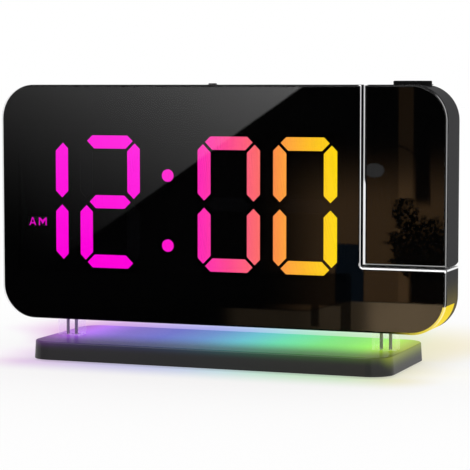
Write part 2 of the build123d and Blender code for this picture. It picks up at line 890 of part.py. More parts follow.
with BuildPart() as coin_cell:
    with BuildSketch(layer(cup_bottom + contact_thickness + cell_thickness)):
        with Locations(cell_place):
            Circle(cell_radius)
    extrude(amount=cell_thickness)
    fillet(coin_cell.edges().filter_by(GeomType.CIRCLE), key_edge_radius)
keep(coin_cell, "coin_cell")

with BuildPart() as battery_door:
    with BuildSketch(layer(body_depth)):
        with Locations((door_x, cell_place[1])):
            RectangleRounded(door_length, door_height, door_corner_radius)
    extrude(amount=door_thickness)
    with Locations(rear_plane((door_screw_x, cell_place[1]), body_depth)):
        screw_hole(door_thickness)
keep(battery_door, "battery_door")

with BuildPart() as battery_door_screw:
    with Locations(rear_plane((door_screw_x, cell_place[1]), body_depth)):
        screw(door_screw_length)
keep(battery_door_screw, "battery_door_screw")

# Hinge: bush in the casing's wall, hollow shaft of the arm, washer and clip that hold it
with BuildPart() as hinge_bush:
    with BuildSketch(pivot_plane(bush_inside_x)):
        Circle(bush_flange_radius)
    extrude(amount=bush_flange_thickness)
    with BuildSketch(pivot_plane(notch_inside_x)):
        Circle(bush_radius)
    extrude(amount=casing_wall)
    with BuildSketch(pivot_plane(bush_inside_x)):
        Circle(shaft_radius + running_gap)
    extrude(amount=bush_flange_thickness + casing_wall, mode=Mode.SUBTRACT)
keep(hinge_bush, "hinge_bush")

with BuildPart() as hinge_washer:
    with BuildSketch(pivot_plane(washer_inside_x)):
        Circle(washer_radius)
        Circle(shaft_radius + running_gap, mode=Mode.SUBTRACT)
    extrude(amount=washer_thickness)
keep(hinge_washer, "hinge_washer")

with BuildPart() as hinge_clip:
    with BuildSketch(pivot_plane(clip_inside_x)):
        Circle(clip_radius)
        Circle(shaft_radius - clip_groove + thread_gap, mode=Mode.SUBTRACT)
        Rectangle(clip_mouth, clip_radius + overrun, align=(Align.CENTER, Align.MIN), mode=Mode.SUBTRACT)
    extrude(amount=clip_thickness)
keep(hinge_clip, "hinge_clip")

shaft_arm_end = arm_left + arm_wall + hinge_boss_length
with BuildPart() as hinge_shaft:
    with BuildSketch(pivot_plane(shaft_end_x)):
        Circle(shaft_radius)
    extrude(amount=shaft_arm_end - shaft_end_x)
    with BuildSketch(pivot_plane(clip_inside_x)):
        Circle(shaft_radius + overrun)
        Circle(shaft_radius - clip_groove, mode=Mode.SUBTRACT)
    extrude(amount=clip_thickness, mode=Mode.SUBTRACT)
    with BuildSketch(pivot_plane(shaft_end_x)):
        Circle(shaft_bore_radius)
    extrude(amount=shaft_arm_end - shaft_end_x, mode=Mode.SUBTRACT)
keep(hinge_shaft, "hinge_shaft")

# Arm casing: tub closed by the arm's mirror, heel rounded about the hinge axis
with BuildPart() as arm_pocket:
    with BuildSketch(layer(body_depth - arm_wall)):
        add(arm_face(arm_wall))
    extrude(amount=body_depth - arm_wall - mirror_thickness)
    with BuildSketch(pivot_plane(arm_left)):
        add(heel_profile(pivot_height - arm_wall))
    extrude(amount=arm_width, mode=Mode.SUBTRACT)

foot_mid_z = (chamber_top_z + chamber_bottom_z) / 2 - body_mid_z
housing_screw_places = [
    (arm_mid_x, foot_mid_z - foot_screw_spacing / 2),
    (arm_mid_x, foot_mid_z + foot_screw_spacing / 2),
]
with BuildPart() as arm_casing:
    with BuildSketch(layer(body_depth)):
        add(arm_face(0))
    extrude(amount=body_depth - mirror_thickness)
    with BuildSketch(pivot_plane(arm_left)):
        add(heel_profile(pivot_height))
    extrude(amount=arm_width, mode=Mode.SUBTRACT)
    arm_rear_edges = [
        edge for edge in arm_casing.faces().sort_by(Axis.Y)[-1].outer_wire().edges()
        if edge.center().X > arm_left + edge_tolerance and edge.center().Z > pivot_z
    ]
    fillet(arm_rear_edges, rear_edge_radius)
    add(arm_pocket.part, mode=Mode.SUBTRACT)
    with BuildSketch(pivot_plane(arm_left)):
        Circle(hinge_boss_radius)
    extrude(amount=arm_wall + hinge_boss_length)
    with BuildSketch(pivot_plane(arm_left)):
        Circle(shaft_radius + thread_gap)
    extrude(amount=arm_wall + hinge_boss_length, mode=Mode.SUBTRACT)
    with BuildSketch(layer(body_depth - arm_wall)):
        add(arm_face(arm_wall / 2))
        with Locations((arm_mid_x, body_height / 2)):
            Rectangle(focus_pad_width, 2 * focus_seat, mode=Mode.INTERSECT)
    extrude(amount=body_depth - arm_wall - mirror_thickness)
    with BuildSketch(lens_plane(body_top_z)):
        Circle(focus_radius + hole_gap)
    extrude(amount=-focus_seat, mode=Mode.SUBTRACT)
    with Locations(*[rear_plane(place, body_depth) for place in housing_screw_places]):
        screw_hole(arm_wall)
keep(arm_casing, "arm_casing")

with BuildPart() as arm_mirror:
    with BuildSketch(layer(mirror_thickness)):
        add(arm_face(0))
    extrude(amount=mirror_thickness)
    front_face = arm_mirror.faces().sort_by(Axis.Y)[0]
    left_edge = front_face.edges().sort_by(Axis.X)[0]
    chamfer(left_edge, length=arm_side_bevel_width, length2=bevel_depth, reference=front_face)
    front_face = arm_mirror.faces().sort_by(Axis.Y)[0]
    other_edges = front_face.edges().sort_by(Axis.X)[1:]
    chamfer(other_edges, length=bevel_width, length2=bevel_depth, reference=front_face)
keep(arm_mirror, "arm_mirror")

# Projector: housing fixed to the arm's back wall, with tube above and lamp chamber below
with BuildPart() as projector_housing:
    with BuildSketch(lens_plane(chamber_bottom_z)):
        Circle(chamber_radius)
        Rectangle(foot_width, foot_reach, align=(Align.CENTER, Align.MIN))
    extrude(amount=chamber_height)
    with BuildSketch(lens_plane(chamber_top_z)):
        Circle(tube_radius)
    extrude(amount=tube_length)
    with BuildSketch(lens_plane(chamber_bottom_z)):
        Circle(condenser_radius + laid_gap)
    extrude(amount=condenser_top_z - chamber_bottom_z, mode=Mode.SUBTRACT)
    with BuildSketch(lens_plane(condenser_top_z)):
        Circle(lcd_room_radius)
    extrude(amount=lcd_room_height, mode=Mode.SUBTRACT)
    with BuildSketch(lens_plane(lcd_top_z)):
        Circle(barrel_bore_radius)
    extrude(amount=chamber_ceiling, mode=Mode.SUBTRACT)
    with BuildSketch(lens_plane(chamber_top_z)):
        Circle(sleeve_radius + running_gap)
        with PolarLocations(sleeve_radius, 2):
            Rectangle(2 * barrel_key_height + 2 * laid_gap, barrel_key_width + 2 * laid_gap)
    extrude(amount=tube_length, mode=Mode.SUBTRACT)
    with BuildSketch(layer(body_depth - arm_wall)):
        with Locations(*housing_screw_places):
            Circle(screw_radius + thread_gap)
    extrude(amount=foot_reach - condenser_radius, mode=Mode.SUBTRACT)
keep(projector_housing, "projector_housing")

with BuildPart() as housing_screws:
    with Locations(*[rear_plane(place, body_depth) for place in housing_screw_places]):
        screw(housing_screw_length)
keep(housing_screws, "housing_screws")

with BuildPart() as projection_lcd:
    with BuildSketch(lens_plane(lcd_top_z)):
        Rectangle(lcd_side, lcd_side)
    extrude(amount=-lcd_thickness)
keep(projection_lcd, "projection_lcd")

condenser_cap_radius = lcd_room_radius - laid_gap
condenser_sphere_radius = (condenser_cap_radius ** 2 + condenser_dome ** 2) / (2 * condenser_dome)
with BuildPart() as condenser_lens:
    with Locations((arm_mid_x, lens_y, condenser_top_z + condenser_dome - condenser_sphere_radius)):
        Sphere(condenser_sphere_radius)
    with BuildSketch(lens_plane(condenser_top_z)):
        Circle(condenser_radius)
    extrude(amount=condenser_dome, mode=Mode.INTERSECT)
    with BuildSketch(lens_plane(condenser_bottom_z)):
        Circle(condenser_radius)
    extrude(amount=condenser_edge)
keep(condenser_lens, "condenser_lens")

with BuildPart() as condenser_spacer:
    with BuildSketch(lens_plane(chamber_bottom_z)):
        Circle(condenser_radius)
        Circle(condenser_radius - spacer_wall, mode=Mode.SUBTRACT)
    extrude(amount=condenser_bottom_z - chamber_bottom_z)
keep(condenser_spacer, "condenser_spacer")

with BuildPart() as projector_board:
    with BuildSketch(lens_plane(projector_board_z)):
        Rectangle(projector_board_side, projector_board_side)
    extrude(amount=projector_board_thickness)
keep(projector_board, "projector_board")

with BuildPart() as projector_led:
    with BuildSketch(lens_plane(chamber_bottom_z)):
        Rectangle(projector_led_side, projector_led_side)
    extrude(amount=projector_led_thickness)
keep(projector_led, "projector_led")

# Lead from the main board through the hollow shaft up to the projector board
lead_start = (lead_socket_right - lead_hold, pivot_y, pivot_z)
lead_turn = (arm_mid_x - lead_offset, pivot_y, pivot_z)
lead_end = (arm_mid_x - lead_offset, pivot_y, projector_board_z)
with BuildPart() as projector_lead:
    with BuildLine() as route:
        FilletPolyline(lead_start, lead_turn, lead_end, radius=lead_bend_radius)
    with BuildSketch(pivot_plane(lead_start[0])):
        Circle(lead_radius)
    sweep(path=route.wires()[0])
keep(projector_lead, "projector_lead")

# Focus ring, and the lens barrel that it moves up and down
with BuildPart() as focus_ring:
    with BuildSketch(lens_plane(focus_bottom_z)):
        Circle(focus_radius)
    extrude(amount=focus_height)
    fillet(focus_ring.faces().sort_by(Axis.Z)[-1].edges(), focus_edge_radius)
    with BuildSketch(lens_plane(flange_top_z)):
        Circle(focus_radius + focus_flange_reach)
    extrude(amount=-focus_flange_thickness)
    with BuildSketch(lens_plane(body_top_z)):
        with PolarLocations(focus_radius, focus_groove_count):
            Circle(focus_groove_radius)
    extrude(amount=focus_proud, mode=Mode.SUBTRACT)
    with BuildSketch(lens_plane(focus_bottom_z)):
        Circle(barrel_radius + running_gap)
    extrude(amount=focus_height, mode=Mode.SUBTRACT)
keep(focus_ring, "focus_ring")

with BuildPart() as lens_barrel:
    with BuildSketch(lens_plane(barrel_shoulder_z)):
        Circle(barrel_radius)
    extrude(amount=barrel_head_length)
    with BuildSketch(lens_plane(barrel_shoulder_z)):
        Circle(sleeve_radius)
        with PolarLocations(sleeve_radius, 2):
            Rectangle(2 * barrel_key_height, barrel_key_width)
    extrude(amount=-sleeve_length)
    with BuildSketch(lens_plane(barrel_top_z)):
        Circle(barrel_bore_radius)
    extrude(amount=-barrel_head_length - sleeve_length, mode=Mode.SUBTRACT)
    with BuildSketch(lens_plane(barrel_top_z)):
        Circle(lens_radius + laid_gap)
    extrude(amount=-lens_recess - lens_edge, mode=Mode.SUBTRACT)
keep(lens_barrel, "lens_barrel")

lens_sphere_radius = (lens_radius ** 2 + lens_dome ** 2) / (2 * lens_dome)
with BuildPart() as projection_lens:
    with Locations((arm_mid_x, lens_y, lens_top_z + lens_dome - lens_sphere_radius)):
        Sphere(lens_sphere_radius)
    with BuildSketch(lens_plane(lens_top_z - lens_edge)):
        Circle(lens_radius)
    extrude(amount=lens_edge + lens_dome, mode=Mode.INTERSECT)
keep(projection_lens, "projection_lens")

# Stand: hollow cover, steel weight, bottom plate with its pad and screws
with BuildPart() as base_cover:
    with BuildSketch(Plane.XY.offset(pad_proud)):
        RectangleRounded(base_width + 2 * base_spread, base_depth + 2 * base_spread,
                         base_corner_radius + base_spread)
    with BuildSketch(Plane.XY.offset(base_top_z)):
        RectangleRounded(base_width, base_depth, base_corner_radius)
    loft(ruled=True)
    fillet(base_cover.faces().sort_by(Axis.Z)[-1].edges(), base_edge_radius)
    with BuildSketch(Plane.XY.offset(pad_proud)):
        RectangleRounded(base_width - 2 * base_wall, base_depth - 2 * base_wall,
                         base_corner_radius - base_wall)
    extrude(amount=cavity_height, mode=Mode.SUBTRACT)
    with BuildSketch(Plane.XY.offset(plate_top_z)):
        with GridLocations(base_screw_spacing_x, base_screw_spacing_y, 2, 2):
            Circle(base_boss_radius)
            Circle(screw_radius + thread_gap, mode=Mode.SUBTRACT)
    extrude(amount=cavity_top_z - plate_top_z)
    with BuildSketch(Plane.XY.offset(cavity_top_z)):
        with Locations(*pin_places):
            Circle(pin_radius + thread_gap)
    extrude(amount=base_top_thickness, mode=Mode.SUBTRACT)
keep(base_cover, "base_cover")

pin_well_width = pin_spacing + 2 * (pin_head_radius + pin_well_margin)
pin_well_depth = 2 * (pin_head_radius + pin_well_margin)
with BuildPart() as base_weight:
    with BuildSketch(Plane.XY.offset(plate_top_z)):
        RectangleRounded(base_width - 2 * (base_wall + laid_gap), base_depth - 2 * (base_wall + laid_gap),
                         base_corner_radius - base_wall - laid_gap)
        with GridLocations(base_screw_spacing_x, base_screw_spacing_y, 2, 2):
            Circle(base_boss_radius + hole_gap, mode=Mode.SUBTRACT)
        with Locations((0, leg_y)):
            with GridLocations(leg_spacing, 0, 2, 1):
                Rectangle(pin_well_width, pin_well_depth, mode=Mode.SUBTRACT)
    extrude(amount=cavity_top_z - laid_gap - plate_top_z)
keep(base_weight, "base_weight")

pad_recess = pad_thickness - pad_proud
base_screw_planes = [
    Plane(origin=(across * base_screw_spacing_x / 2, along * base_screw_spacing_y / 2, pad_thickness))
    for across in (-1, 1)
    for along in (-1, 1)
]
with BuildPart() as bottom_plate:
    with BuildSketch(Plane.XY.offset(pad_proud)):
        RectangleRounded(base_width - 2 * (base_wall + laid_gap), base_depth - 2 * (base_wall + laid_gap),
                         base_corner_radius - base_wall - laid_gap)
    extrude(amount=bottom_plate_thickness)
    with BuildSketch(Plane.XY.offset(pad_proud)):
        RectangleRounded(base_width - 2 * (pad_margin - laid_gap), base_depth - 2 * (pad_margin - laid_gap),
                         pad_corner_radius + laid_gap)
    extrude(amount=pad_recess, mode=Mode.SUBTRACT)
    with Locations(*base_screw_planes):
        screw_hole(bottom_plate_thickness)
keep(bottom_plate, "bottom_plate")

with BuildPart() as base_screws:
    with Locations(*base_screw_planes):
        screw(base_screw_length)
keep(base_screws, "base_screws")

with BuildPart() as base_pad:
    with BuildSketch(Plane.XY):
        RectangleRounded(base_width - 2 * pad_margin, base_depth - 2 * pad_margin, pad_corner_radius)
    extrude(amount=pad_thickness)
keep(base_pad, "base_pad")

# Clear legs, and the pins that run from the base through each leg into the casing
for leg_name, side in (("clear_leg_left", -1), ("clear_leg_right", 1)):
    with BuildPart() as leg:
        with BuildSketch(Plane.XY.offset(base_top_z)):
            with Locations((side * leg_spacing / 2, leg_y)):
                RectangleRounded(leg_width, leg_depth, leg_corner_radius)
                with GridLocations(pin_spacing, 0, 2, 1):
                    Circle(pin_radius + hole_gap, mode=Mode.SUBTRACT)
        extrude(amount=leg_height)
    keep(leg, leg_name)

with BuildPart() as leg_pins:
    with BuildSketch(Plane.XY.offset(cavity_top_z)):
        with Locations(*pin_places):
            Circle(pin_radius)
    extrude(amount=body_bottom_z + casing_wall + pin_hold - cavity_top_z)
    with BuildSketch(Plane.XY.offset(cavity_top_z)):
        with Locations(*pin_places):
            Circle(pin_head_radius)
    extrude(amount=-pin_head_height)
keep(leg_pins, "leg_pins")
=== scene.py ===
"""Looks of a mirror alarm clock with a tilting projector arm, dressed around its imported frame."""

import json
import math

import bmesh
import bpy
from bpy.props import FloatProperty, FloatVectorProperty, IntProperty, PointerProperty
from mathutils import Matrix, Vector

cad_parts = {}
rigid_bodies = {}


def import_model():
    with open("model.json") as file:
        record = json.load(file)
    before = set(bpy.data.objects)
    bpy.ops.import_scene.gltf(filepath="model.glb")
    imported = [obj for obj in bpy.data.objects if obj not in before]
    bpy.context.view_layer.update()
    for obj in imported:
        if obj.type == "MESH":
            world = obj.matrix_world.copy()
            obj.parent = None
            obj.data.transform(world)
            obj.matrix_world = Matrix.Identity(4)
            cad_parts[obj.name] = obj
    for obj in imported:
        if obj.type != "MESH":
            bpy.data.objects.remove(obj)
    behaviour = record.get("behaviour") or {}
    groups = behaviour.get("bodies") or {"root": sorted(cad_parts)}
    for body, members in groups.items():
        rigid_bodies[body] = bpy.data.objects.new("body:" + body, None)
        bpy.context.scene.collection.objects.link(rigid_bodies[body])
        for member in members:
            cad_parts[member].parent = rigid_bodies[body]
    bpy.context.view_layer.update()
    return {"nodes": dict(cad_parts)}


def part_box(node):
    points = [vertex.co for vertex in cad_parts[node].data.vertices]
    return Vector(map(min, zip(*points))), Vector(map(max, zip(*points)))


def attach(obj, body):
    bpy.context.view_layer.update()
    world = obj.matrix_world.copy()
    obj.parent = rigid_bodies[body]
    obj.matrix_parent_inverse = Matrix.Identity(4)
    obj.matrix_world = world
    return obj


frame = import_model()
NODES = frame["nodes"]
MM = 0.001

# The mirrors: their bend of light, the depth of their bevels in millimetres, and how little of the light
# a bare edge of them stops
MIRROR_IOR = 2.1
BEVEL_DEPTH = 0.45
EDGE_FILM = 0.1

bl_info = {
    "name": "Mirror Projection Clock",
    "version": (1, 0, 0),
    "blender": (4, 5, 0),
    "location": "3D View > Sidebar > Clock",
    "description": "Dresses a mirror clock with lit digits, a light strip and a projector arm",
    "category": "Object",
}


def screen(red, green, blue):
    """Screen values from 0 to 255 as the linear colour that a shader reads."""
    shares = (red / 255, green / 255, blue / 255)
    return tuple(s / 12.92 if s <= 0.04045 else ((s + 0.055) / 1.055) ** 2.4 for s in shares)


# Colours along the display and along the light strip, as places in millimetres and screen values
DIGIT_COLOURS = (
    (-90, (255, 0, 222)),
    (-30, (255, 0, 220)),
    (-9, (255, 34, 186)),
    (5, (255, 74, 146)),
    (19, (255, 112, 105)),
    (25, (255, 148, 72)),
    (38, (255, 188, 42)),
    (52, (255, 222, 0)),
)
STRIP_COLOURS = (
    (-92, (232, 104, 232)),
    (-66, (190, 88, 242)),
    (-45, (136, 96, 250)),
    (-27, (92, 108, 252)),
    (-10, (82, 162, 250)),
    (5, (72, 216, 236)),
    (20, (74, 238, 178)),
    (36, (104, 238, 112)),
    (55, (140, 238, 66)),
    (67, (194, 228, 48)),
    (78, (240, 226, 40)),
    (92, (253, 222, 22)),
)

# Specular levels that keep a low gloss from turning white where the view grazes it
CASING_GLOSS = 0.015
BASE_GLOSS = 0.012
STRIP_GLOSS = 0.01
RING_GLOSS = 0.02

# The strip's light as painted on the base: the share at its front edge, the painted shade at its two ends,
# and the sheen of its sides
BASE_FRONT_SHARE = 0.2
BASE_END_SHADE = 0.5
BASE_SHEEN = 0.26

# The strip's glow painted on the floor: its slants in millimetres per millimetre, how far it reaches, its
# strength beside the base, at the front edge and behind, and its tone, which darkens it a little as painted
# shade
GLOW_COLOUR_SLANT = 0.15
GLOW_EDGE_SLANT = 0.1
GLOW_REACH = 46.0
GLOW_BESIDE = 0.22
GLOW_FRONT = 0.2
GLOW_BEHIND = 0.66
GLOW_TONE = 0.86

# How far the floor shines by itself where it is seen, so that it stays as white as the background
FLOOR_SHINE = 0.6

# The flag's sides and ends in metres, and the soft box on it: its tone at one place, the tone's growth per
# millimetre across and up, its brightest tone, and the slope and the places of its slanted edge
FLAG_SIDES = (-3, 0.35)
FLAG_ENDS = (-2, 2.5)
BOX_PLACE = (-569.6, 107.8)
BOX_TONE = 47
BOX_GROWTH = (0.1264, 0.2663)
BOX_BRIGHTEST = 110.0
BOX_SLOPE = 0.673
BOX_EDGE = (305.4, 308.6)

# The dim room on the flag, in millimetres: left, right, low and high places of its furniture, ovals as
# a centre and two radii, and tones as screen values
CHAIR = (-258, -231, -88, -34)
DESK = (-400, -243, -92, -61)
POT = (-187, -150, -90, -55)
NEAR_LEG = (-253, -243)
FAR_LEG = (-282, -274)
LAMP_STEM = ((-203.6, 10.2), (35, 47.8))
LAMP_SHADE = ((-221, 34.6), (9.2, 6.6))
BUSH = ((-174, -36), (31, 27))
SHOOT = ((-192, -6), (13, 20))
WALL_TONE = 48
LEAF_TONE = 40
CHAIR_TONE = 20
LAMP_TONE = 44
WALL_COLOUR = (1.0, 0.57, 0.26)
CARPET_COLOUR = (1.0, 0.72, 0.42)
CHAIR_COLOUR = (0.25, 0.6, 1.0)
WHITE = (1.0, 1.0, 1.0)


class ClockFinish(bpy.types.PropertyGroup):
    """Colours and strengths of the clock's surfaces"""

    casing: FloatVectorProperty(
        name="Casing", description="Colour of the matte casing", subtype="COLOR", default=screen(48, 48, 49))
    stand: FloatVectorProperty(
        name="Stand", description="Colour of the satin base", subtype="COLOR", default=screen(50, 50, 50))
    key: FloatVectorProperty(
        name="Keys", description="Colour of the keys and the top button", subtype="COLOR",
        default=screen(34, 34, 35))
    mirror: FloatVectorProperty(
        name="Mirror", description="Colour inside the smoked mirror", subtype="COLOR",
        default=screen(4, 4, 5))
    # Colour of the highlights painted on the mirrors' bevels round the arm and along the casing's ledge
    highlight_colour: FloatVectorProperty(
        name="Cut edge", description="Colour of the ground edge round the arm", subtype="COLOR",
        default=screen(246, 246, 247))
    film: FloatProperty(
        name="Mirror film", description="How much of the light the mirror film stops", subtype="FACTOR",
        min=0, max=1, default=0.3)
    strip_strength: FloatProperty(
        name="Strip strength", description="Brightness of the light strip itself", default=0.9, min=0)
    top_glow: FloatProperty(
        name="Glow on the base", description="Brightness of the strip's light on the base's top",
        default=0.74, min=0)
    leg_glow: FloatProperty(
        name="Glow in the legs", description="Brightness of the strip's light in the clear legs",
        default=0.35, min=0)


class ClockSizes(bpy.types.PropertyGroup):
    """Sizes of the details that are added to the frame"""

    grain: FloatProperty(
        name="Grain", description="Width of one grain of the casing's texture", unit="LENGTH",
        default=0.35 * MM)
    mask_lap: FloatProperty(
        name="Mask lap", description="How far the black print laps over the display", unit="LENGTH",
        default=1.5 * MM)
    mark_height: FloatProperty(
        name="Mark height", description="How far a key's mark stands out", unit="LENGTH", default=0.12 * MM)
    mark_width: FloatProperty(
        name="Mark width", description="Width of a key's mark", unit="LENGTH", default=3.0 * MM)
    rib_count: IntProperty(
        name="Door ribs", description="Ribs on the battery door", default=6, min=1)
    rib_pitch: FloatProperty(
        name="Rib pitch", description="Distance between the door's ribs", unit="LENGTH", default=1.3 * MM)
    rib_length: FloatProperty(
        name="Rib length", description="Length of a door rib", unit="LENGTH", default=9 * MM)
    rib_radius: FloatProperty(
        name="Rib radius", description="Radius of a door rib", unit="LENGTH", default=0.3 * MM)
    dot_count: IntProperty(
        name="Focus dots", description="Dots beside the focus ring", default=7, min=2)
    dot_radius: FloatProperty(
        name="Dot radius", description="Radius of the largest focus dot", unit="LENGTH", default=0.55 * MM)
    dot_spread: FloatProperty(
        name="Dot spread", description="Angle that the row of dots covers", unit="ROTATION",
        default=math.radians(80))


class ClockStage(bpy.types.PropertyGroup):
    """Camera, light and background"""

    camera_place: FloatVectorProperty(
        name="Camera place", description="Where the camera stands", subtype="TRANSLATION", unit="LENGTH",
        default=(0.27671, -0.73608, 0.11162))
    camera_turn: FloatVectorProperty(
        name="Camera turn", description="How the camera is turned", subtype="EULER", unit="ROTATION",
        default=(math.radians(90 - 4.398029), 0.0, math.radians(20.378231)))
    lens: FloatProperty(
        name="Lens", description="Focal length in millimetres", default=148.31, min=1)
    daylight: FloatProperty(
        name="Daylight", description="Strength of the even white light", default=1.0, min=0)
    floor: FloatVectorProperty(
        name="Floor", description="Colour of the pale floor", subtype="COLOR", default=(1.0, 1.0, 1.0))
    flag_distance: FloatProperty(
        name="Flag distance", description="How far in front the dark flag stands", unit="LENGTH", default=1.0)


class Wire:
    """A node's output that Python arithmetic extends with Math nodes."""

    def __init__(self, tree, socket):
        self.tree = tree
        self.socket = socket

    def of(self, name):
        """Another output of the same node."""
        return Wire(self.tree, self.socket.node.outputs[name])

    def maths(self, operation, first, second):
        node = self.tree.nodes.new("ShaderNodeMath")
        node.operation = operation
        plug(self.tree, node.inputs[0], first)
        plug(self.tree, node.inputs[1], second)
        return Wire(self.tree, node.outputs[0])

    def __add__(self, other):
        return self.maths("ADD", self, other)

    def __radd__(self, other):
        return self.maths("ADD", other, self)

    def __sub__(self, other):
        return self.maths("SUBTRACT", self, other)

    def __rsub__(self, other):
        return self.maths("SUBTRACT", other, self)

    def __mul__(self, other):
        return self.maths("MULTIPLY", self, other)

    def __rmul__(self, other):
        return self.maths("MULTIPLY", other, self)

    def __truediv__(self, other):
        return self.maths("DIVIDE", self, other)

    def __rtruediv__(self, other):
        return self.maths("DIVIDE", other, self)

    def __pow__(self, other):
        return self.maths("POWER", self, other)

    def __neg__(self):
        return self.maths("MULTIPLY", self, -1.0)

    def at_least(self, other):
        return self.maths("MAXIMUM", self, other)

    def at_most(self, other):
        return self.maths("MINIMUM", self, other)

    def sine(self):
        return self.maths("SINE", self, 0.0)

    def unsigned(self):
        return self.maths("ABSOLUTE", self, 0.0)


def plug(tree, socket, value):
    """Links a wire to a socket, or sets a plain value on it."""
    if isinstance(value, Wire):
        tree.links.new(value.socket, socket)
    elif socket.type == "RGBA" and len(value) == 3:
        socket.default_value = (*value, 1.0)
    else:
        socket.default_value = value


class Bench:
    """A node tree under construction."""

    def __init__(self, tree):
        self.tree = tree

    def node(self, kind, settings=None, inputs=None, output=0):
        """Adds a node of any kind; its settings come first, then its sockets."""
        node = self.tree.nodes.new(kind)
        for name, value in (settings or {}).items():
            if name == "stops":
                set_stops(node.color_ramp, value)
            else:
                setattr(node, name, value)
        for name, value in (inputs or {}).items():
            plug(self.tree, node.inputs[name], value)
        return Wire(self.tree, node.outputs[output] if len(node.outputs) else None)

    def place(self):
        """Object coordinates in millimetres, as three wires."""
        spot = self.node("ShaderNodeTexCoord", output="Object")
        parts = self.node("ShaderNodeSeparateXYZ", inputs={0: spot})
        return parts * 1000, parts.of("Y") * 1000, parts.of("Z") * 1000

    def facing(self, axis):
        """How far the surface faces along one object axis, from -1 to 1."""
        normal = self.node("ShaderNodeTexCoord", output="Normal")
        return self.node("ShaderNodeSeparateXYZ", inputs={0: normal}).of(axis)

    def noise(self, size, detail=2.0, stretch=(1, 1, 1)):
        """Noise from 0 to 1 with blobs about size millimetres wide."""
        spot = self.node("ShaderNodeTexCoord", output="Object")
        scale = [part / (size * MM) for part in stretch]
        spread = self.node("ShaderNodeMapping", inputs={"Vector": spot, "Scale": scale})
        return self.node("ShaderNodeTexNoise", inputs={"Vector": spread, "Scale": 1.0, "Detail": detail})

    def rise(self, value, low, high):
        """0 below low and 1 above high, smooth between."""
        return self.node(
            "ShaderNodeMapRange", {"interpolation_type": "SMOOTHSTEP"},
            {"Value": value, "From Min": low, "From Max": high})

    def band(self, value, low, high, soft=0.1):
        """1 between low and high, with soft ends."""
        return self.rise(value, low - soft, low + soft) * (1 - self.rise(value, high - soft, high + soft))

    def patch(self, x, z, box, soft):
        """1 inside a box of left, right, low and high places, with soft edges."""
        left, right, low, high = box
        return self.band(x, left, right, soft) * self.band(z, low, high, soft)

    def blend(self, factor, first, second):
        """A colour between two others."""
        return self.node(
            "ShaderNodeMix", {"data_type": "RGBA"}, {0: factor, 6: first, 7: second}, output=2)

    def scale(self, colour, amount):
        """A colour made brighter or darker by a number."""
        return self.node(
            "ShaderNodeVectorMath", {"operation": "SCALE"}, {0: colour, "Scale": amount})

    def bump(self, height, depth):
        """A normal from a height; depth is in millimetres."""
        return self.node("ShaderNodeBump", inputs={"Strength": 1.0, "Distance": depth * MM, "Height": height})

    def colours(self, place, stops):
        """The colour along a row of stops, for a place in millimetres."""
        low = stops[0][0]
        span = stops[-1][0] - low
        shares = [((spot - low) / span, screen(*colour)) for spot, colour in stops]
        return self.node("ShaderNodeValToRGB", {"stops": shares}, {"Fac": (place - low) / span})


def set_stops(ramp, stops):
    """Gives a colour ramp its stops, as shares of its length and colours."""
    while len(ramp.elements) < len(stops):
        ramp.elements.new(1.0)
    for element, (share, colour) in zip(ramp.elements, stops):
        element.position = share
        element.color = (*colour, 1.0)


class Finish(Bench):
    """One procedural material that ends in a Principled shader."""

    def __init__(self, name, constants=None):
        self.material = bpy.data.materials.new(name)
        self.material.use_nodes = True
        super().__init__(self.material.node_tree)
        self.shader = self.tree.nodes["Principled BSDF"]
        self.feed(constants or {})

    def feed(self, sockets):
        """Links wires or sets plain values on the shader."""
        for name, value in sockets.items():
            plug(self.tree, self.shader.inputs[name], value)
        return self


def oval(x, z, centre, radii):
    """0 in an oval's centre and 1 on its rim, by the square of the distance."""
    return ((x - centre[0]) / radii[0]) ** 2 + ((z - centre[1]) / radii[1]) ** 2


def light_of(tone):
    """The light that a camera shows as this screen value, near enough for dim tones."""
    return (tone / 255) ** 2.2


def bare_material(name):
    """A material with no nodes, and the bench that fills it."""
    material = bpy.data.materials.new(name)
    material.use_nodes = True
    material.node_tree.nodes.clear()
    return material, Bench(material.node_tree)


def tinted(colour, share):
    """A colour multiplied by a number."""
    return tuple(part * share for part in colour[:3])


def box_mm(node):
    """Lower and upper corners of a node in millimetres."""
    low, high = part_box(node)
    return low / MM, high / MM


def bevel_highlights(finish, x, y, z):
    """Painted highlights on the ground bevels round the arm where they catch the light, at places measured
    from the arm's corner.
    """
    arm, arm_high = box_mm("arm_mirror")
    outward = (y - arm.y) / BEVEL_DEPTH
    beside = finish.rise(z, arm.z - 1.8, arm.z - 1.6)
    below = finish.rise(x, arm.x - 1.8, arm.x - 1.6)
    panel_side = finish.band(x, arm.x - 2, arm.x - 0.4) * beside * finish.band(outward, 0.47, 0.76, 0.05)
    # Painted shade: the line on the arm's side turns dimmer and narrower more than about 32 mm above the
    # arm's foot
    shade = finish.rise(z, arm.z + 34.5, arm.z + 31.5)
    arm_side = finish.band(x, arm.x - 0.3, arm.x + 1.6) * finish.rise(z, arm.z + 0.4, arm.z + 0.6)
    arm_side = arm_side * finish.rise(outward + 0.26 * shade, 0.56, 0.66) * (0.62 + 0.38 * shade)
    arm_foot = finish.band(z, arm.z - 0.2, arm.z + 1.0) * below * finish.rise(outward, 0.5, 0.3) * 0.42
    ledge = finish.band(z, arm.z - 1.9, arm.z - 0.4) * below * finish.rise(outward, 0.3, 0.4)
    # Painted highlight on the panel's outer right bevel, near its right end
    rim = finish.rise(finish.facing("X"), 0.25, 0.4) * finish.rise(x, arm_high.x - 16, arm_high.x - 12)
    rim = rim * finish.rise(outward, 0.6, 0.7) * 0.3
    return panel_side.at_least(arm_side).at_least(arm_foot).at_least(ledge).at_least(rim)


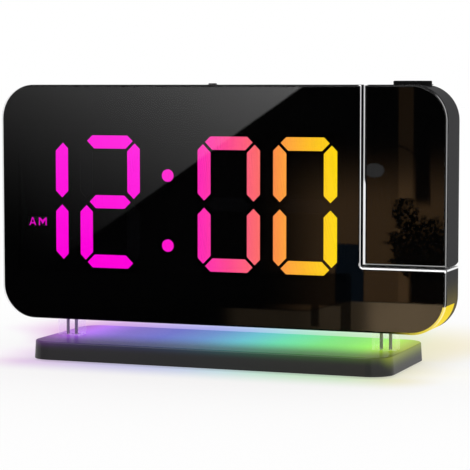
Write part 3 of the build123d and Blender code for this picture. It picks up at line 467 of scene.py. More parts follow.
def smoked_mirror(look):
    """Dark half-mirror film on a clear sheet, with highlights painted on some of its ground bevels, and the
    strip's light painted as a glow in its edges near the strip's end.
    """
    finish = Finish("smoked_mirror", {"IOR": MIRROR_IOR})
    x, y, z = finish.place()
    strip_high = box_mm("light_strip")[1]
    toward = -finish.facing("Y")
    front = finish.rise(toward, 0.972, 0.988)
    back = 1 - finish.rise(toward, -0.95, -0.9)
    bevel = finish.rise(toward, 0.3, 0.4) * (1 - front)
    lines = bevel_highlights(finish, x, y, z) * bevel
    smudge = finish.noise(26, 3)
    dust = finish.rise(finish.noise(0.7, 1), 0.74, 0.8)
    edge = (1 - front) * (1 - back)
    bare = EDGE_FILM * (1 - 0.85 * finish.rise(finish.facing("Z"), 0.3, 0.6))
    bare = bare.at_least((lines * 5).at_most(1.0))
    # Painted glow: the strip's light in the mirror's edges, below the strip's top and near its right end
    lit = edge * finish.rise(z, strip_high.z + 0.3, strip_high.z - 0.3)
    lit = lit * finish.rise(x, strip_high.x - 26, strip_high.x - 8)
    finish.feed({
        "Base Color": finish.blend(lines, look.mirror, look.highlight_colour),
        "Roughness": front * (0.006 + 0.008 * smudge + 0.02 * dust) + (1 - front) * (0.3 + 0.2 * lines),
        "Emission Color": finish.scale(finish.colours(x, STRIP_COLOURS), lit * 0.85),
        "Emission Strength": look.strip_strength,
        "Alpha": front * look.film + edge * bare.at_least(lit),
    })
    return finish.material


def moulded(name, colour, grain, constants=None, rough=0.52, depth=0.02):
    """Moulded plastic with a fine spark-eroded grain and faint flow marks."""
    finish = Finish(name, constants)
    fine = finish.noise(grain / MM, 1)
    coarse = finish.noise(grain / MM * 2.6, 2)
    flow = finish.noise(34, 2, (0.5, 1, 1.6))
    finish.colour = finish.scale(tuple(colour), 0.86 + 0.2 * flow + 0.08 * (fine - 0.5))
    finish.feed({
        "Base Color": finish.colour,
        "Roughness": rough + 0.1 * (coarse - 0.5) + 0.06 * (flow - 0.5),
        "Normal": finish.bump(0.6 * fine + 0.4 * coarse, depth),
    })
    return finish


def casing_plastic(look, sizes):
    """The matte casing: the strip's light is painted as a glow in the plastic beside its ends, and a pale
    highlight is painted along the ledge.
    """
    finish = moulded("casing_plastic", look.casing, sizes.grain, {"Specular IOR Level": CASING_GLOSS})
    x, y, z = finish.place()
    strip_high = box_mm("light_strip")[1]
    arm = box_mm("arm_casing")[0]
    low, high = box_mm("casing")
    # Painted glow: the strip's light on the casing near its two ends, fading upwards and weaker towards the
    # back
    near = 1 - finish.rise(z, strip_high.z - 2, strip_high.z + 15)
    sides = finish.rise(x, high.x - 5, high.x) + (1 - finish.rise(x, low.x, low.x + 5))
    spill = near * near * sides * (1 - finish.rise(y, strip_high.y - 1, strip_high.y + 9) * 0.5)
    # Painted highlight: a pale band on the ledge under the arm, along its front part and its right end
    ledge_highlight = finish.band(z, arm.z - 1.5, arm.z - 0.5) * finish.rise(x, arm.x - 1.0, arm.x - 0.8)
    ledge_highlight = ledge_highlight * finish.rise(y, 0.0, -5.0).at_least(finish.rise(x, high.x - 5, high.x - 2.5))
    finish.feed({
        "Base Color": finish.blend(ledge_highlight, finish.colour, look.highlight_colour),
        "Emission Color": finish.scale(finish.colours(x, STRIP_COLOURS), spill * 0.1),
        "Emission Strength": 1.0,
    })
    return finish.material


def base_plastic(look, sizes):
    """The satin base: the strip's light painted on its top, strong at the rear and weak at the front edge,
    and fainter down its upright faces.
    """
    gloss = {"Specular IOR Level": BASE_GLOSS, "Coat Roughness": 0.2}
    finish = moulded("base_plastic", look.stand, sizes.grain, gloss, 0.32, 0.008)
    x, y, z = finish.place()
    low, high = box_mm("base_cover")
    top = finish.rise(finish.facing("Z"), 0.6, 0.9)
    depth = BASE_FRONT_SHARE + (1 - BASE_FRONT_SHARE) * finish.rise(y, low.y + 2, low.y + 34)
    # Painted shade: the glow weakens towards the base's two ends
    ends = 1 - BASE_END_SHADE * finish.rise(x.unsigned(), high.x - 14, high.x + 2)
    # The painted glow is stronger to the right, and stronger again near both ends
    along = 0.66 + 0.4 * finish.rise(x, -25, 40)
    along = along + 0.7 * finish.rise(x, -44, -74) + 0.25 * finish.rise(x, 46, 66)
    # Painted glow on the upright faces, strongest on the right side and fading downwards
    outward = finish.facing("X")
    side = finish.rise(outward, 0.5, 1.0) + 0.6 * finish.rise(-outward, 0.8, 1.0)
    fall = finish.rise(z, high.z - 4.5 - 3 * side, high.z + 1)
    upright = (0.15 + 0.22 * side) * fall * fall
    lit = (top * depth * ends + (1 - top) * upright) * along
    finish.feed({
        "Coat Weight": BASE_SHEEN * (1 - top),
        "Emission Color": finish.scale(finish.colours(x * 0.92, STRIP_COLOURS), lit),
        "Emission Strength": look.top_glow,
    })
    return finish.material


def strip_diffuser(look):
    """Milky diffuser lit from behind by a row of lamps, brighter over each of them."""
    gloss = {"Emission Strength": look.strip_strength, "Specular IOR Level": STRIP_GLOSS}
    finish = Finish("strip_diffuser", gloss)
    x, y, z = finish.place()
    lamp_pitch = 8.1
    lamp = 0.5 + 0.5 * (x * (math.tau / lamp_pitch)).sine()
    milk = finish.noise(1.2, 2)
    level = 0.93 + 0.05 * lamp + 0.06 * (milk - 0.5)
    finish.feed({
        "Base Color": finish.scale(finish.colours(x, STRIP_COLOURS), 0.04 + 0.03 * milk),
        "Roughness": 0.4 + 0.1 * milk,
        "Emission Color": finish.scale(finish.colours(x, STRIP_COLOURS), level),
    })
    return finish.material


def digit_glow(look, name, level=1.0, walls=1.0):
    """Lit display windows that change colour along the row; walls is the share of light on their sides."""
    finish = Finish(name, {"Emission Strength": level / (1 - look.film), "Specular IOR Level": 0.0})
    x, y, z = finish.place()
    cloud = finish.noise(5, 1)
    face = walls + (1 - walls) * finish.rise(-finish.facing("Y"), 0.5, 0.9)
    light = face * (1.05 + 0.06 * (cloud - 0.5))
    finish.feed({
        "Base Color": finish.blend(cloud, (0.002, 0.002, 0.002), (0.004, 0.004, 0.004)),
        "Roughness": 0.5 + 0.1 * cloud,
        "Emission Color": finish.scale(finish.colours(x, DIGIT_COLOURS), light),
    })
    return finish.material


def plain_plastic(name, colour, rough=0.45, grain=0.5, depth=0.01, gloss=0.5):
    """Small moulded pieces: a tone that wanders a little, and a faint grain."""
    finish = Finish(name, {"Specular IOR Level": gloss})
    cloud = finish.noise(4, 2)
    fine = finish.noise(grain, 1)
    finish.feed({
        "Base Color": finish.scale(tuple(colour), 0.88 + 0.24 * cloud),
        "Roughness": rough + 0.12 * (fine - 0.5),
        "Normal": finish.bump(fine, depth),
    })
    return finish.material


def metal(name, colour, rough=0.3, stretch=(1, 1, 1)):
    """Bare or plated metal with fine tool marks."""
    finish = Finish(name, {"Metallic": 1.0})
    marks = finish.noise(0.5, 2, stretch)
    cloud = finish.noise(3, 2)
    finish.feed({
        "Base Color": finish.scale(tuple(colour), 0.85 + 0.25 * cloud),
        "Roughness": rough + 0.2 * (marks - 0.5),
        "Normal": finish.bump(marks, 0.004),
    })
    return finish.material


def clear(name, colour, rough, bend=1.49):
    """Clear moulded or polished plastic and glass."""
    finish = Finish(name, {"Transmission Weight": 1.0, "IOR": bend, "Base Color": colour})
    haze = finish.noise(1.5, 2)
    finish.feed({"Roughness": rough * (0.6 + 0.8 * haze)})
    return finish.material


def clear_block(look):
    """Clear polished block: a faint veil, paler where its upright edges and its ends catch the light."""
    finish = Finish("clear_acrylic", {"Specular IOR Level": 0.2})
    x, y, z = finish.place()
    low, high = box_mm("clear_leg_right")
    across = x.unsigned()
    ends = 1 - finish.rise(z, low.z + 0.3, low.z + 0.9)
    ends = ends + finish.rise(z, high.z - 0.7, high.z - 0.2)
    sides = 1 - finish.rise(across, low.x + 0.5, low.x + 1.3)
    sides = sides + finish.rise(across, high.x - 1.3, high.x - 0.5)
    haze = finish.noise(1.5, 2)
    finish.feed({
        "Base Color": finish.blend(haze, (0.9, 0.92, 0.91), (0.96, 0.97, 0.97)),
        "Roughness": 0.06 + 0.08 * haze,
        # Painted glow: the strip's light in the clear block, part grey and part in the strip's colours
        "Emission Color": finish.blend(0.4 + 0.2 * haze, (0.8, 0.8, 0.8), finish.colours(x, STRIP_COLOURS)),
        "Emission Strength": look.leg_glow,
        "Alpha": 0.05 + 0.04 * haze + 0.1 * sides.at_most(1.0) + 0.1 * ends.at_most(1.0),
    })
    return finish.material


def board():
    """Circuit board lacquer with copper tracks showing through."""
    finish = Finish("board_green")
    x, y, z = finish.place()
    lanes = (x * 2.4).sine() * (z * 2.4).sine()
    tracks = finish.rise(lanes + 0.6 * (finish.noise(6, 1) - 0.5), 0.15, 0.25)
    finish.feed({
        "Base Color": finish.blend(tracks, screen(18, 70, 38), screen(30, 96, 54)),
        "Roughness": 0.35 + 0.15 * tracks,
        "Normal": finish.bump(tracks, 0.03),
    })
    return finish.material


def dress(finish, *names):
    """Gives a finish to nodes of the frame."""
    for name in names:
        for slot in NODES[name].material_slots:
            slot.material = finish


def settings(context):
    """The clock's three groups of settings."""
    scene = context.scene
    return scene.clock_finish, scene.clock_sizes, scene.clock_stage


def piece_from(mesh, name, body, finish=None):
    """Makes a finished mesh a piece that rides on a body."""
    if finish is not None:
        mesh.materials.clear()
        mesh.materials.append(finish)
    piece = bpy.data.objects.new(name, mesh)
    bpy.context.scene.collection.objects.link(piece)
    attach(piece, body)
    return piece


class Grower(Bench):
    """A Geometry Nodes tree with named inputs."""

    def __init__(self, name, inputs):
        super().__init__(bpy.data.node_groups.new(name, "GeometryNodeTree"))
        self.ids = {}
        for label, kind in inputs.items():
            socket = self.tree.interface.new_socket(label, in_out="INPUT", socket_type=kind)
            self.ids[label] = socket.identifier
        self.tree.interface.new_socket("Geometry", in_out="OUTPUT", socket_type="NodeSocketGeometry")
        self.start = self.tree.nodes.new("NodeGroupInput")

    def value(self, label):
        """The wire of one named input."""
        return Wire(self.tree, self.start.outputs[label])

    def close(self, geometry):
        """Realizes the instances, sets the material and ends the tree."""
        real = self.node("GeometryNodeRealizeInstances", inputs={0: geometry})
        smooth = self.node("GeometryNodeSetShadeSmooth", inputs={0: real})
        painted = self.node("GeometryNodeSetMaterial", inputs={0: smooth, "Material": self.value("Finish")})
        end = self.tree.nodes.new("NodeGroupOutput")
        self.tree.links.new(painted.socket, end.inputs[0])

    def grow(self, name, values):
        """Runs the tree with these values and returns the plain mesh it makes."""
        seed = bpy.data.objects.new(name + "_seed", bpy.data.meshes.new(name + "_seed"))
        bpy.context.scene.collection.objects.link(seed)
        modifier = seed.modifiers.new("grow", "NODES")
        modifier.node_group = self.tree
        for label, value in values.items():
            modifier[self.ids[label]] = value
        graph = bpy.context.evaluated_depsgraph_get()
        mesh = bpy.data.meshes.new_from_object(seed.evaluated_get(graph), depsgraph=graph)
        seed.modifiers.remove(modifier)
        bpy.data.objects.remove(seed)
        mesh.name = name
        return mesh


def rib_tree():
    """Half-round ribs in a row."""
    tree = Grower("door ribs", {
        "Count": "NodeSocketInt", "Pitch": "NodeSocketFloat", "Length": "NodeSocketFloat",
        "Radius": "NodeSocketFloat", "Finish": "NodeSocketMaterial"})
    half = tree.value("Length") / 2
    start = tree.node("ShaderNodeCombineXYZ", inputs={0: -half})
    end = tree.node("ShaderNodeCombineXYZ", inputs={0: half})
    spine = tree.node("GeometryNodeCurvePrimitiveLine", inputs={"Start": start, "End": end})
    round_bar = tree.node(
        "GeometryNodeCurvePrimitiveCircle", inputs={"Resolution": 14, "Radius": tree.value("Radius")})
    rib = tree.node(
        "GeometryNodeCurveToMesh", inputs={"Curve": spine, "Profile Curve": round_bar, "Fill Caps": True})
    step = tree.node("ShaderNodeCombineXYZ", inputs={2: tree.value("Pitch")})
    row = tree.node("GeometryNodeMeshLine", inputs={"Count": tree.value("Count"), "Offset": step})
    ribs = tree.node("GeometryNodeInstanceOnPoints", inputs={"Points": row, "Instance": rib})
    tree.close(ribs)
    return tree


def dot_tree():
    """Low domes along an arc, each a little larger than the one before."""
    tree = Grower("focus dots", {
        "Count": "NodeSocketInt", "Arc Radius": "NodeSocketFloat", "Start": "NodeSocketFloat",
        "Spread": "NodeSocketFloat", "Dot Radius": "NodeSocketFloat", "Finish": "NodeSocketMaterial"})
    arc = tree.node("GeometryNodeCurveArc", inputs={
        "Resolution": tree.value("Count"), "Radius": tree.value("Arc Radius"),
        "Start Angle": tree.value("Start"), "Sweep Angle": tree.value("Spread")})
    spots = tree.node("GeometryNodeCurveToPoints", {"mode": "EVALUATED"}, {"Curve": arc})
    dome = tree.node("GeometryNodeMeshUVSphere", inputs={
        "Segments": 20, "Rings": 10, "Radius": tree.value("Dot Radius")})
    share = tree.node("GeometryNodeInputIndex") / (tree.value("Count") - 1)
    wide = 0.5 + 0.5 * share
    size = tree.node("ShaderNodeCombineXYZ", inputs={0: wide, 1: wide, 2: 0.35})
    dots = tree.node("GeometryNodeInstanceOnPoints", inputs={
        "Points": spots, "Instance": dome, "Scale": size})
    tree.close(dots)
    return tree


def raised_shape(outline, centre, thickness, sunk):
    """A flat outline in X and Z made a low raised shape that faces the back, with softened edges."""
    mesh = bpy.data.meshes.new("raised")
    build = bmesh.new()
    front = centre.y + thickness
    corners = [build.verts.new((centre.x + x, front, centre.z + z)) for x, z in outline]
    top = build.faces.new(corners)
    grown = bmesh.ops.extrude_face_region(build, geom=[top])
    moved = [part for part in grown["geom"] if isinstance(part, bmesh.types.BMVert)]
    bmesh.ops.translate(build, verts=moved, vec=(0, -thickness - sunk, 0))
    bmesh.ops.recalc_face_normals(build, faces=build.faces)
    rims = [edge for edge in build.edges if all(abs(vert.co.y - front) < 1e-7 for vert in edge.verts)]
    bmesh.ops.bevel(build, geom=rims, offset=thickness * 0.5, segments=2, affect="EDGES", profile=0.6)
    build.to_mesh(mesh)
    build.free()
    return mesh


def back_mask(node, low, high, lap):
    """The black print on a mirror's back: the mirror's own rear face, less the display's window."""
    build = bmesh.new()
    build.from_mesh(NODES[node].data)
    bmesh.ops.remove_doubles(build, verts=build.verts, dist=1e-6)
    rear = max(vert.co.y for vert in build.verts)
    front = [face for face in build.faces if min(vert.co.y for vert in face.verts) < rear - 1e-6]
    bmesh.ops.delete(build, geom=front, context="FACES")
    for axis, spot in ((0, low.x + lap), (0, high.x - lap), (2, low.z + lap), (2, high.z - lap)):
        across = Vector((0, 0, 0))
        across[axis] = 1
        parts = build.verts[:] + build.edges[:] + build.faces[:]
        bmesh.ops.bisect_plane(build, geom=parts, dist=1e-7, plane_co=across * spot, plane_no=across)
    window = [face for face in build.faces if inside(face.calc_center_median(), low, high, lap)]
    bmesh.ops.delete(build, geom=window, context="FACES")
    bmesh.ops.translate(build, verts=build.verts, vec=(0, -0.02 * MM, 0))
    bmesh.ops.solidify(build, geom=build.faces[:], thickness=0.04 * MM)
    bmesh.ops.recalc_face_normals(build, faces=build.faces)
    mesh = bpy.data.meshes.new(node + "_back")
    build.to_mesh(mesh)
    build.free()
    return mesh


def inside(spot, low, high, lap):
    """Whether a point lies in the display's window."""
    across = low.x + lap < spot.x < high.x - lap
    return across and low.z + lap < spot.z < high.z - lap


def mark_outlines(width):
    """The outlines of the marks on the keys, by key."""
    half = width / 2
    triangle = [(-half, -half * 0.75), (half, -half * 0.75), (0, half * 0.85)]
    turns = [math.tau * step / 28 for step in range(28)]
    disc = [(half * 0.8 * math.cos(turn), half * 0.8 * math.sin(turn)) for turn in turns]
    bell = [(-half, -half * 0.6), (half, -half * 0.6), (half * 0.62, -half * 0.2), (half * 0.55, half * 0.45),
            (half * 0.25, half * 0.85), (-half * 0.25, half * 0.85), (-half * 0.55, half * 0.45),
            (-half * 0.62, -half * 0.2)]
    beam = [(-half * 0.3, -half * 0.8), (half * 0.3, -half * 0.8), (half, half * 0.8), (-half, half * 0.8)]
    return {
        "key_mode": disc,
        "key_up": triangle,
        "key_down": [(-x, -z) for x, z in triangle],
        "key_alarm": bell,
        "key_projector": beam,
    }


class CLOCK_OT_mirror(bpy.types.Operator):
    """Gives the mirror panel and the arm's mirror their dark film and edges, with highlights and the strip's
    glow painted on some edges
    """

    bl_idname = "clock.mirror"
    bl_label = "Mirror"

    def execute(self, context):
        look, sizes, stage = settings(context)
        dress(smoked_mirror(look), "mirror_panel", "arm_mirror")
        return {"FINISHED"}


class CLOCK_OT_display(bpy.types.Operator):
    """Lights the digits, the colon and the indicator, and darkens what lies round them"""

    bl_idname = "clock.display"
    bl_label = "Display"

    def execute(self, context):
        look, sizes, stage = settings(context)
        dress(digit_glow(look, "digit_glow"), "digit_segments_lit", "colon")
        dress(digit_glow(look, "indicator_glow", 0.72, 0.0), "am_indicator")
        dress(plain_plastic("unlit_window", screen(7, 7, 8), 0.8, gloss=0.0), "digit_segments_unlit")
        black = plain_plastic("mask_black", screen(3, 3, 3), 0.9, gloss=0.0)
        dress(black, "digit_reflector")
        low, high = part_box("digit_reflector")
        for node, body, name in (("mirror_panel", "body", "mirror_mask"), ("arm_mirror", "arm", "arm_mask")):
            mesh = back_mask(node, low, high, sizes.mask_lap)
            piece_from(mesh, name, body, black)
        return {"FINISHED"}


class CLOCK_OT_casing(bpy.types.Operator):
    """Gives the casing, the back cover, the arm and the battery door their matte plastic"""

    bl_idname = "clock.casing"
    bl_label = "Casing"

    def execute(self, context):
        look, sizes, stage = settings(context)
        plastic = casing_plastic(look, sizes)
        dress(plastic, "casing", "back_cover", "arm_casing", "battery_door")
        low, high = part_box("battery_door")
        mesh = rib_tree().grow("door_ribs", {
            "Count": sizes.rib_count, "Pitch": sizes.rib_pitch, "Length": sizes.rib_length,
            "Radius": sizes.rib_radius, "Finish": plastic})
        rise = (sizes.rib_count - 1) * sizes.rib_pitch / 2
        across = low.x + (high.x - low.x) * 0.27
        mesh.transform(Matrix.Translation((across, high.y, (low.z + high.z) / 2 - rise)))
        piece_from(mesh, "door_ribs", "body")
        return {"FINISHED"}


class CLOCK_OT_controls(bpy.types.Operator):
    """Finishes the keys, the top button, the focus ring and the lens, and adds their marks"""

    bl_idname = "clock.controls"
    bl_label = "Controls"

    def execute(self, context):
        look, sizes, stage = settings(context)
        key_finish = moulded("key_plastic", look.key, sizes.grain, None, 0.4, 0.01).material
        outlines = mark_outlines(sizes.mark_width)
        mark = plain_plastic("key_mark", screen(176, 178, 180), 0.5)
        dress(key_finish, "top_button", *outlines)
        for key, outline in outlines.items():
            low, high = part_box(key)
            centre = Vector(((low.x + high.x) / 2, high.y, (low.z + high.z) / 2))
            mesh = raised_shape(outline, centre, sizes.mark_height, sizes.mark_height)
            piece_from(mesh, key + "_mark", key, mark)
        gloss = {"Specular IOR Level": RING_GLOSS}
        ring = moulded("focus_ring", tinted(look.casing, 0.2), sizes.grain, gloss, 0.6, 0.015)
        dress(ring.material, "focus_ring")
        low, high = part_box("focus_ring")
        arm_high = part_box("arm_casing")[1]
        middle = (low + high) / 2
        mesh = dot_tree().grow("focus_dots", {
            "Count": sizes.dot_count, "Arc Radius": (high.x - low.x) / 2 + 1.1 * MM,
            "Start": math.radians(90) - sizes.dot_spread / 2, "Spread": sizes.dot_spread,
            "Dot Radius": sizes.dot_radius, "Finish": mark})
        mesh.transform(Matrix.Translation((middle.x, middle.y, arm_high.z)))
        piece_from(mesh, "focus_dots", "arm")
        dress(clear("lens_glass", (0.93, 0.95, 0.98), 0.01, 1.6), "projection_lens", "condenser_lens")
        dress(clear("film_glass", (0.3, 0.32, 0.34), 0.05, 1.5), "projection_lcd")
        dress(plain_plastic("barrel_black", screen(16, 16, 17), 0.5), "lens_barrel")
        return {"FINISHED"}


class CLOCK_OT_light_strip(bpy.types.Operator):
    """Lights the strip along the lower edge"""

    bl_idname = "clock.light_strip"
    bl_label = "Light Strip"

    def execute(self, context):
        look, sizes, stage = settings(context)
        dress(strip_diffuser(look), "light_strip")
        return {"FINISHED"}


class CLOCK_OT_stand(bpy.types.Operator):
    """Finishes the base, its pad and the two clear legs with their pins"""

    bl_idname = "clock.stand"
    bl_label = "Stand"

    def execute(self, context):
        look, sizes, stage = settings(context)
        dress(base_plastic(look, sizes), "base_cover")
        dress(plain_plastic("plate_black", screen(30, 30, 31), 0.55), "bottom_plate")
        dress(plain_plastic("pad_rubber", screen(22, 22, 23), 0.85, 0.6, 0.05), "base_pad")
        dress(clear_block(look), "clear_leg_left", "clear_leg_right")
        dress(metal("pin_steel", screen(84, 82, 88), 0.36, (1, 1, 6)), "leg_pins")
        return {"FINISHED"}


class CLOCK_OT_hardware(bpy.types.Operator):
    """Finishes the screws, the inlet and the hinge"""

    bl_idname = "clock.hardware"
    bl_label = "Hardware"

    def execute(self, context):
        zinc = metal("zinc_screw", screen(150, 152, 156), 0.34)
        dress(zinc, "back_cover_screws", "battery_door_screw", "base_screws", "housing_screws")
        dress(metal("inlet_steel", screen(190, 191, 194), 0.25), "inlet_shell")
        dress(metal("hinge_steel", screen(168, 169, 172), 0.25, (1, 5, 5)),
              "hinge_shaft", "hinge_clip", "hinge_washer", "clock_crystal", "coin_cell", "base_weight")
        dress(metal("brass", screen(201, 164, 84), 0.3), "hinge_bush", "cell_contacts")
        return {"FINISHED"}


class CLOCK_OT_inner_works(bpy.types.Operator):
    """Finishes the boards and the small parts inside"""

    bl_idname = "clock.inner_works"
    bl_label = "Inner Works"

    def execute(self, context):
        dress(board(), "main_board", "projector_board", "light_strip_flex")
        dress(plain_plastic("chip_black", screen(20, 20, 22), 0.5),
              "controller_chip", "buzzer", "tact_switches", "top_switch", "inlet_tongue",
              "projector_housing", "condenser_spacer")
        dress(plain_plastic("lamp_resin", screen(238, 232, 190), 0.3),
              "display_leds", "light_strip_leds", "projector_led")
        dress(plain_plastic("socket_white", screen(226, 224, 216), 0.4), "lead_socket")
        dress(plain_plastic("lead_cover", screen(30, 30, 32), 0.5), "projector_lead")
        return {"FINISHED"}


def stage_plane(name, corners):
    """A flat stage piece through four corners."""
    mesh = bpy.data.meshes.new(name)
    mesh.from_pydata(corners, [], [(0, 1, 2, 3)])
    plane = bpy.data.objects.new(name, mesh)
    bpy.context.scene.collection.objects.link(plane)
    return plane


def floor_finish(stage):
    """A plain pale floor with the strip's light painted round the base as a coloured glow, a little darker as
    painted shade.
    """
    material, bench = bare_material("pale_floor")
    x, y, z = bench.place()
    low, high = box_mm("base_cover")
    place = x + GLOW_COLOUR_SLANT * (y + 6)
    off = x + GLOW_EDGE_SLANT * (y + 6) + 2
    ends = 1.7 - 0.9 * bench.rise(y, high.y - 20, high.y + 40)
    aside = (off.unsigned() - (high.x - 2)).at_least(0.0) * ends
    ahead = (low.y + 5 - y).at_least(0.0) * 1.4
    behind = (y - high.y - 40).at_least(0.0) * 0.48
    reach = (aside * aside + ahead * ahead + behind * behind) ** 0.5
    halo = 1 - bench.rise(reach, 0.0, GLOW_REACH)
    near = GLOW_BESIDE + GLOW_FRONT * bench.rise(y, low.y + 12, low.y - 4)
    share = 1.12 - 0.6 * bench.rise(x, -20, 75)
    depth = near.at_least(GLOW_BEHIND * share * bench.rise(y, high.y - 26, high.y + 4))
    # Painted glow: the strip's colours, darkened a little as painted shade
    painted_glow_colour = bench.scale(bench.colours(place, STRIP_COLOURS), GLOW_TONE)
    colour = bench.blend(halo * depth, tuple(stage.floor), painted_glow_colour)
    matte = bench.node("ShaderNodeBsdfDiffuse", inputs={"Color": colour})
    pale = bench.node("ShaderNodeEmission", inputs={"Color": colour, "Strength": 1.0})
    seen = bench.node("ShaderNodeLightPath", output="Is Camera Ray")
    for ray in ("Is Glossy Ray", "Is Transmission Ray"):
        seen = seen.at_least(bench.node("ShaderNodeLightPath", output=ray))
    soft = bench.node("ShaderNodeMixShader", inputs={0: seen * FLOOR_SHINE, 1: matte, 2: pale})
    bench.node("ShaderNodeOutputMaterial", inputs={"Surface": soft})
    return material


def soft_box(bench, x, z):
    """The light of the soft box across the flag's corner, and the share of the flag that it covers."""
    tone = BOX_TONE + BOX_GROWTH[0] * (x - BOX_PLACE[0]) + BOX_GROWTH[1] * (z - BOX_PLACE[1])
    cover = bench.rise(z - BOX_SLOPE * x, *BOX_EDGE)
    return light_of(tone.at_least(0.0).at_most(BOX_BRIGHTEST)) * cover, cover


def room_wall(bench, x, z):
    """Tones of the room's wall with its curtain, a bent lamp stem and a plant in a pot."""
    wall = WALL_TONE * bench.rise(z, 80, -2) * bench.rise(x, -352, -258)
    wall = wall * (1 - 0.75 * bench.band(x, -182, -169, 2) * bench.rise(z, 0, 12))
    curtain = (27 + 30 * bench.rise(z, 55, 8)) * bench.band(x, -199, -184, 1.5)
    bow = oval(x, z, *LAMP_STEM) ** 0.5
    stem = 1 - 0.6 * bench.band(bow, 0.985, 1.015, 0.012) * bench.rise(x, -226, -220) * bench.rise(z, 0, 6)
    plant = oval(x, z, *BUSH).at_most(oval(x, z, *SHOOT) + 0.35)
    foliage = bench.rise(bench.noise(6, 4) - 0.34 * plant, 0.08, 0.2)
    leaf = LEAF_TONE * foliage * bench.rise(bench.noise(3, 2), 0.46, 0.62) * bench.rise(z, -70, 0)
    pot = 1 - 0.8 * bench.patch(x, z, POT, 3)
    return (wall.at_least(curtain) * stem * (1 - 0.85 * foliage) * pot).at_least(leaf)


def room_table(bench, x, z):
    """1 where the room is clear, and dark where the desk and its two legs stand."""
    legs = bench.band(x, *FAR_LEG, 1) * bench.rise(z, -113, -111)
    legs = legs + bench.band(x, *NEAR_LEG, 1) * bench.rise(z, -128, -126)
    return 1 - 0.8 * bench.patch(x, z, DESK, 1.5).at_least(legs * bench.rise(z, -61, -63))


def room_carpet(bench, x, z):
    """Tones of the room's floor, which brightens to the right in three steps and fades far below."""
    steps = 32 * bench.rise(x, -385, -350) + 12 * bench.rise(x, -300, -262) + 40 * bench.rise(x, -240, -215)
    return steps * bench.rise(z, -250, -140) * (0.9 + 0.2 * bench.noise(40, 2))


def flag_finish(look):
    """The dark flag that the mirror shows: a soft box across one corner, and a dim room."""
    material, bench = bare_material("dark_flag")
    x, y, z = bench.place()
    shown = look.film * ((MIRROR_IOR - 1) / (MIRROR_IOR + 1)) ** 2
    box, cover = soft_box(bench, x, z)
    edge = z - (-97 + 11 * bench.rise(x, -290, -240))
    wall = room_wall(bench, x, z) * bench.rise(edge, -2, 1)
    carpet = room_carpet(bench, x, z) * bench.rise(edge, 1, -2)
    chair = bench.patch(x, z, CHAIR, 1.5)
    shade = (1 - cover) * (1 - bench.rise(x, -130, -60)) * room_table(bench, x, z)
    lamp = bench.rise(oval(x, z, *LAMP_SHADE), 1.15, 0.85)
    lights = (
        (WHITE, box + light_of(LAMP_TONE) * lamp),
        (WALL_COLOUR, light_of(wall * (1 - 0.9 * chair)) * shade * (1 - lamp)),
        (CARPET_COLOUR, light_of(carpet) * shade),
        (CHAIR_COLOUR, light_of(CHAIR_TONE) * chair * shade),
    )
    total = (0.0, 0.0, 0.0)
    for colour, level in lights:
        part = bench.scale(colour, level / shown)
        total = bench.node("ShaderNodeVectorMath", {"operation": "ADD"}, {0: total, 1: part})
    light = bench.node("ShaderNodeEmission", inputs={"Color": total, "Strength": 1.0})
    bench.node("ShaderNodeOutputMaterial", inputs={"Surface": light})
    return material


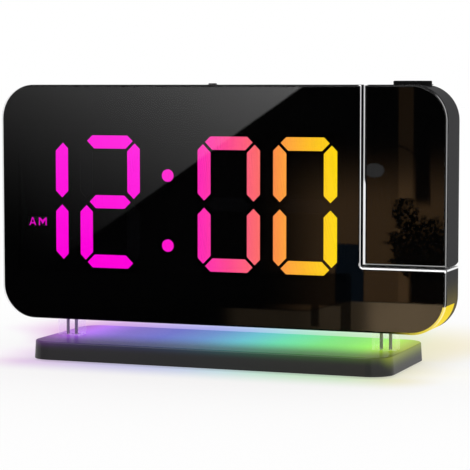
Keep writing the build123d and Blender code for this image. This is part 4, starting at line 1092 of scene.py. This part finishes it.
class CLOCK_OT_stage(bpy.types.Operator):
    """Sets the floor, the light, the dark flag in front and the camera"""

    bl_idname = "clock.stage"
    bl_label = "Stage"

    def execute(self, context):
        look, sizes, stage = settings(context)
        scene = context.scene
        wide = 9.0
        deep = -0.2 * MM
        corners = ((-wide, -wide), (wide, -wide), (wide, wide), (-wide, wide))
        floor = stage_plane("floor", [(x, y, deep) for x, y in corners])
        floor.data.materials.append(floor_finish(stage))
        floor.visible_glossy = False
        far = -stage.flag_distance
        left, right = FLAG_SIDES
        foot, head = FLAG_ENDS
        flag = stage_plane("dark_flag", [
            (left, far, foot), (right, far, foot), (right, far, head), (left, far, head)])
        flag.data.materials.append(flag_finish(look))
        for ray in ("camera", "diffuse", "transmission", "volume_scatter", "shadow"):
            setattr(flag, "visible_" + ray, False)
        world = bpy.data.worlds.new("white_room")
        world.use_nodes = True
        sky = world.node_tree.nodes["Background"]
        sky.inputs["Color"].default_value = (*WHITE, 1.0)
        sky.inputs["Strength"].default_value = stage.daylight
        scene.world = world
        camera = bpy.data.cameras.new("camera")
        camera.lens = stage.lens
        camera.sensor_width = 36
        camera.clip_start = 0.01
        camera.clip_end = 60
        viewer = bpy.data.objects.new("camera", camera)
        viewer.location = stage.camera_place
        viewer.rotation_euler = stage.camera_turn
        scene.collection.objects.link(viewer)
        scene.camera = viewer
        scene.view_settings.view_transform = "Standard"
        return {"FINISHED"}


class CLOCK_PT_panel(bpy.types.Panel):
    """Lists the clock's settings and steps"""

    bl_label = "Mirror Projection Clock"
    bl_idname = "CLOCK_PT_panel"
    bl_space_type = "VIEW_3D"
    bl_region_type = "UI"
    bl_category = "Clock"

    def draw(self, context):
        for group in settings(context):
            box = self.layout.box()
            for name in group.__annotations__:
                box.prop(group, name)
        for step in STEPS:
            self.layout.operator(step.bl_idname)


GROUPS = {"clock_finish": ClockFinish, "clock_sizes": ClockSizes, "clock_stage": ClockStage}
STEPS = (
    CLOCK_OT_stage,
    CLOCK_OT_mirror,
    CLOCK_OT_display,
    CLOCK_OT_casing,
    CLOCK_OT_controls,
    CLOCK_OT_light_strip,
    CLOCK_OT_stand,
    CLOCK_OT_hardware,
    CLOCK_OT_inner_works,
)


def register():
    """Adds the settings, the operators and the panel."""
    for name, group in GROUPS.items():
        bpy.utils.register_class(group)
        setattr(bpy.types.Scene, name, PointerProperty(type=group))
    for step in STEPS:
        bpy.utils.register_class(step)
    bpy.utils.register_class(CLOCK_PT_panel)


def unregister():
    """Takes away what register adds."""
    bpy.utils.unregister_class(CLOCK_PT_panel)
    for step in reversed(STEPS):
        bpy.utils.unregister_class(step)
    for name, group in GROUPS.items():
        delattr(bpy.types.Scene, name)
        bpy.utils.unregister_class(group)


def main():
    """Dresses the clock step by step."""
    register()
    for step in STEPS:
        family, name = step.bl_idname.split(".")
        getattr(getattr(bpy.ops, family), name)()


if __name__ == "__main__":
    main()
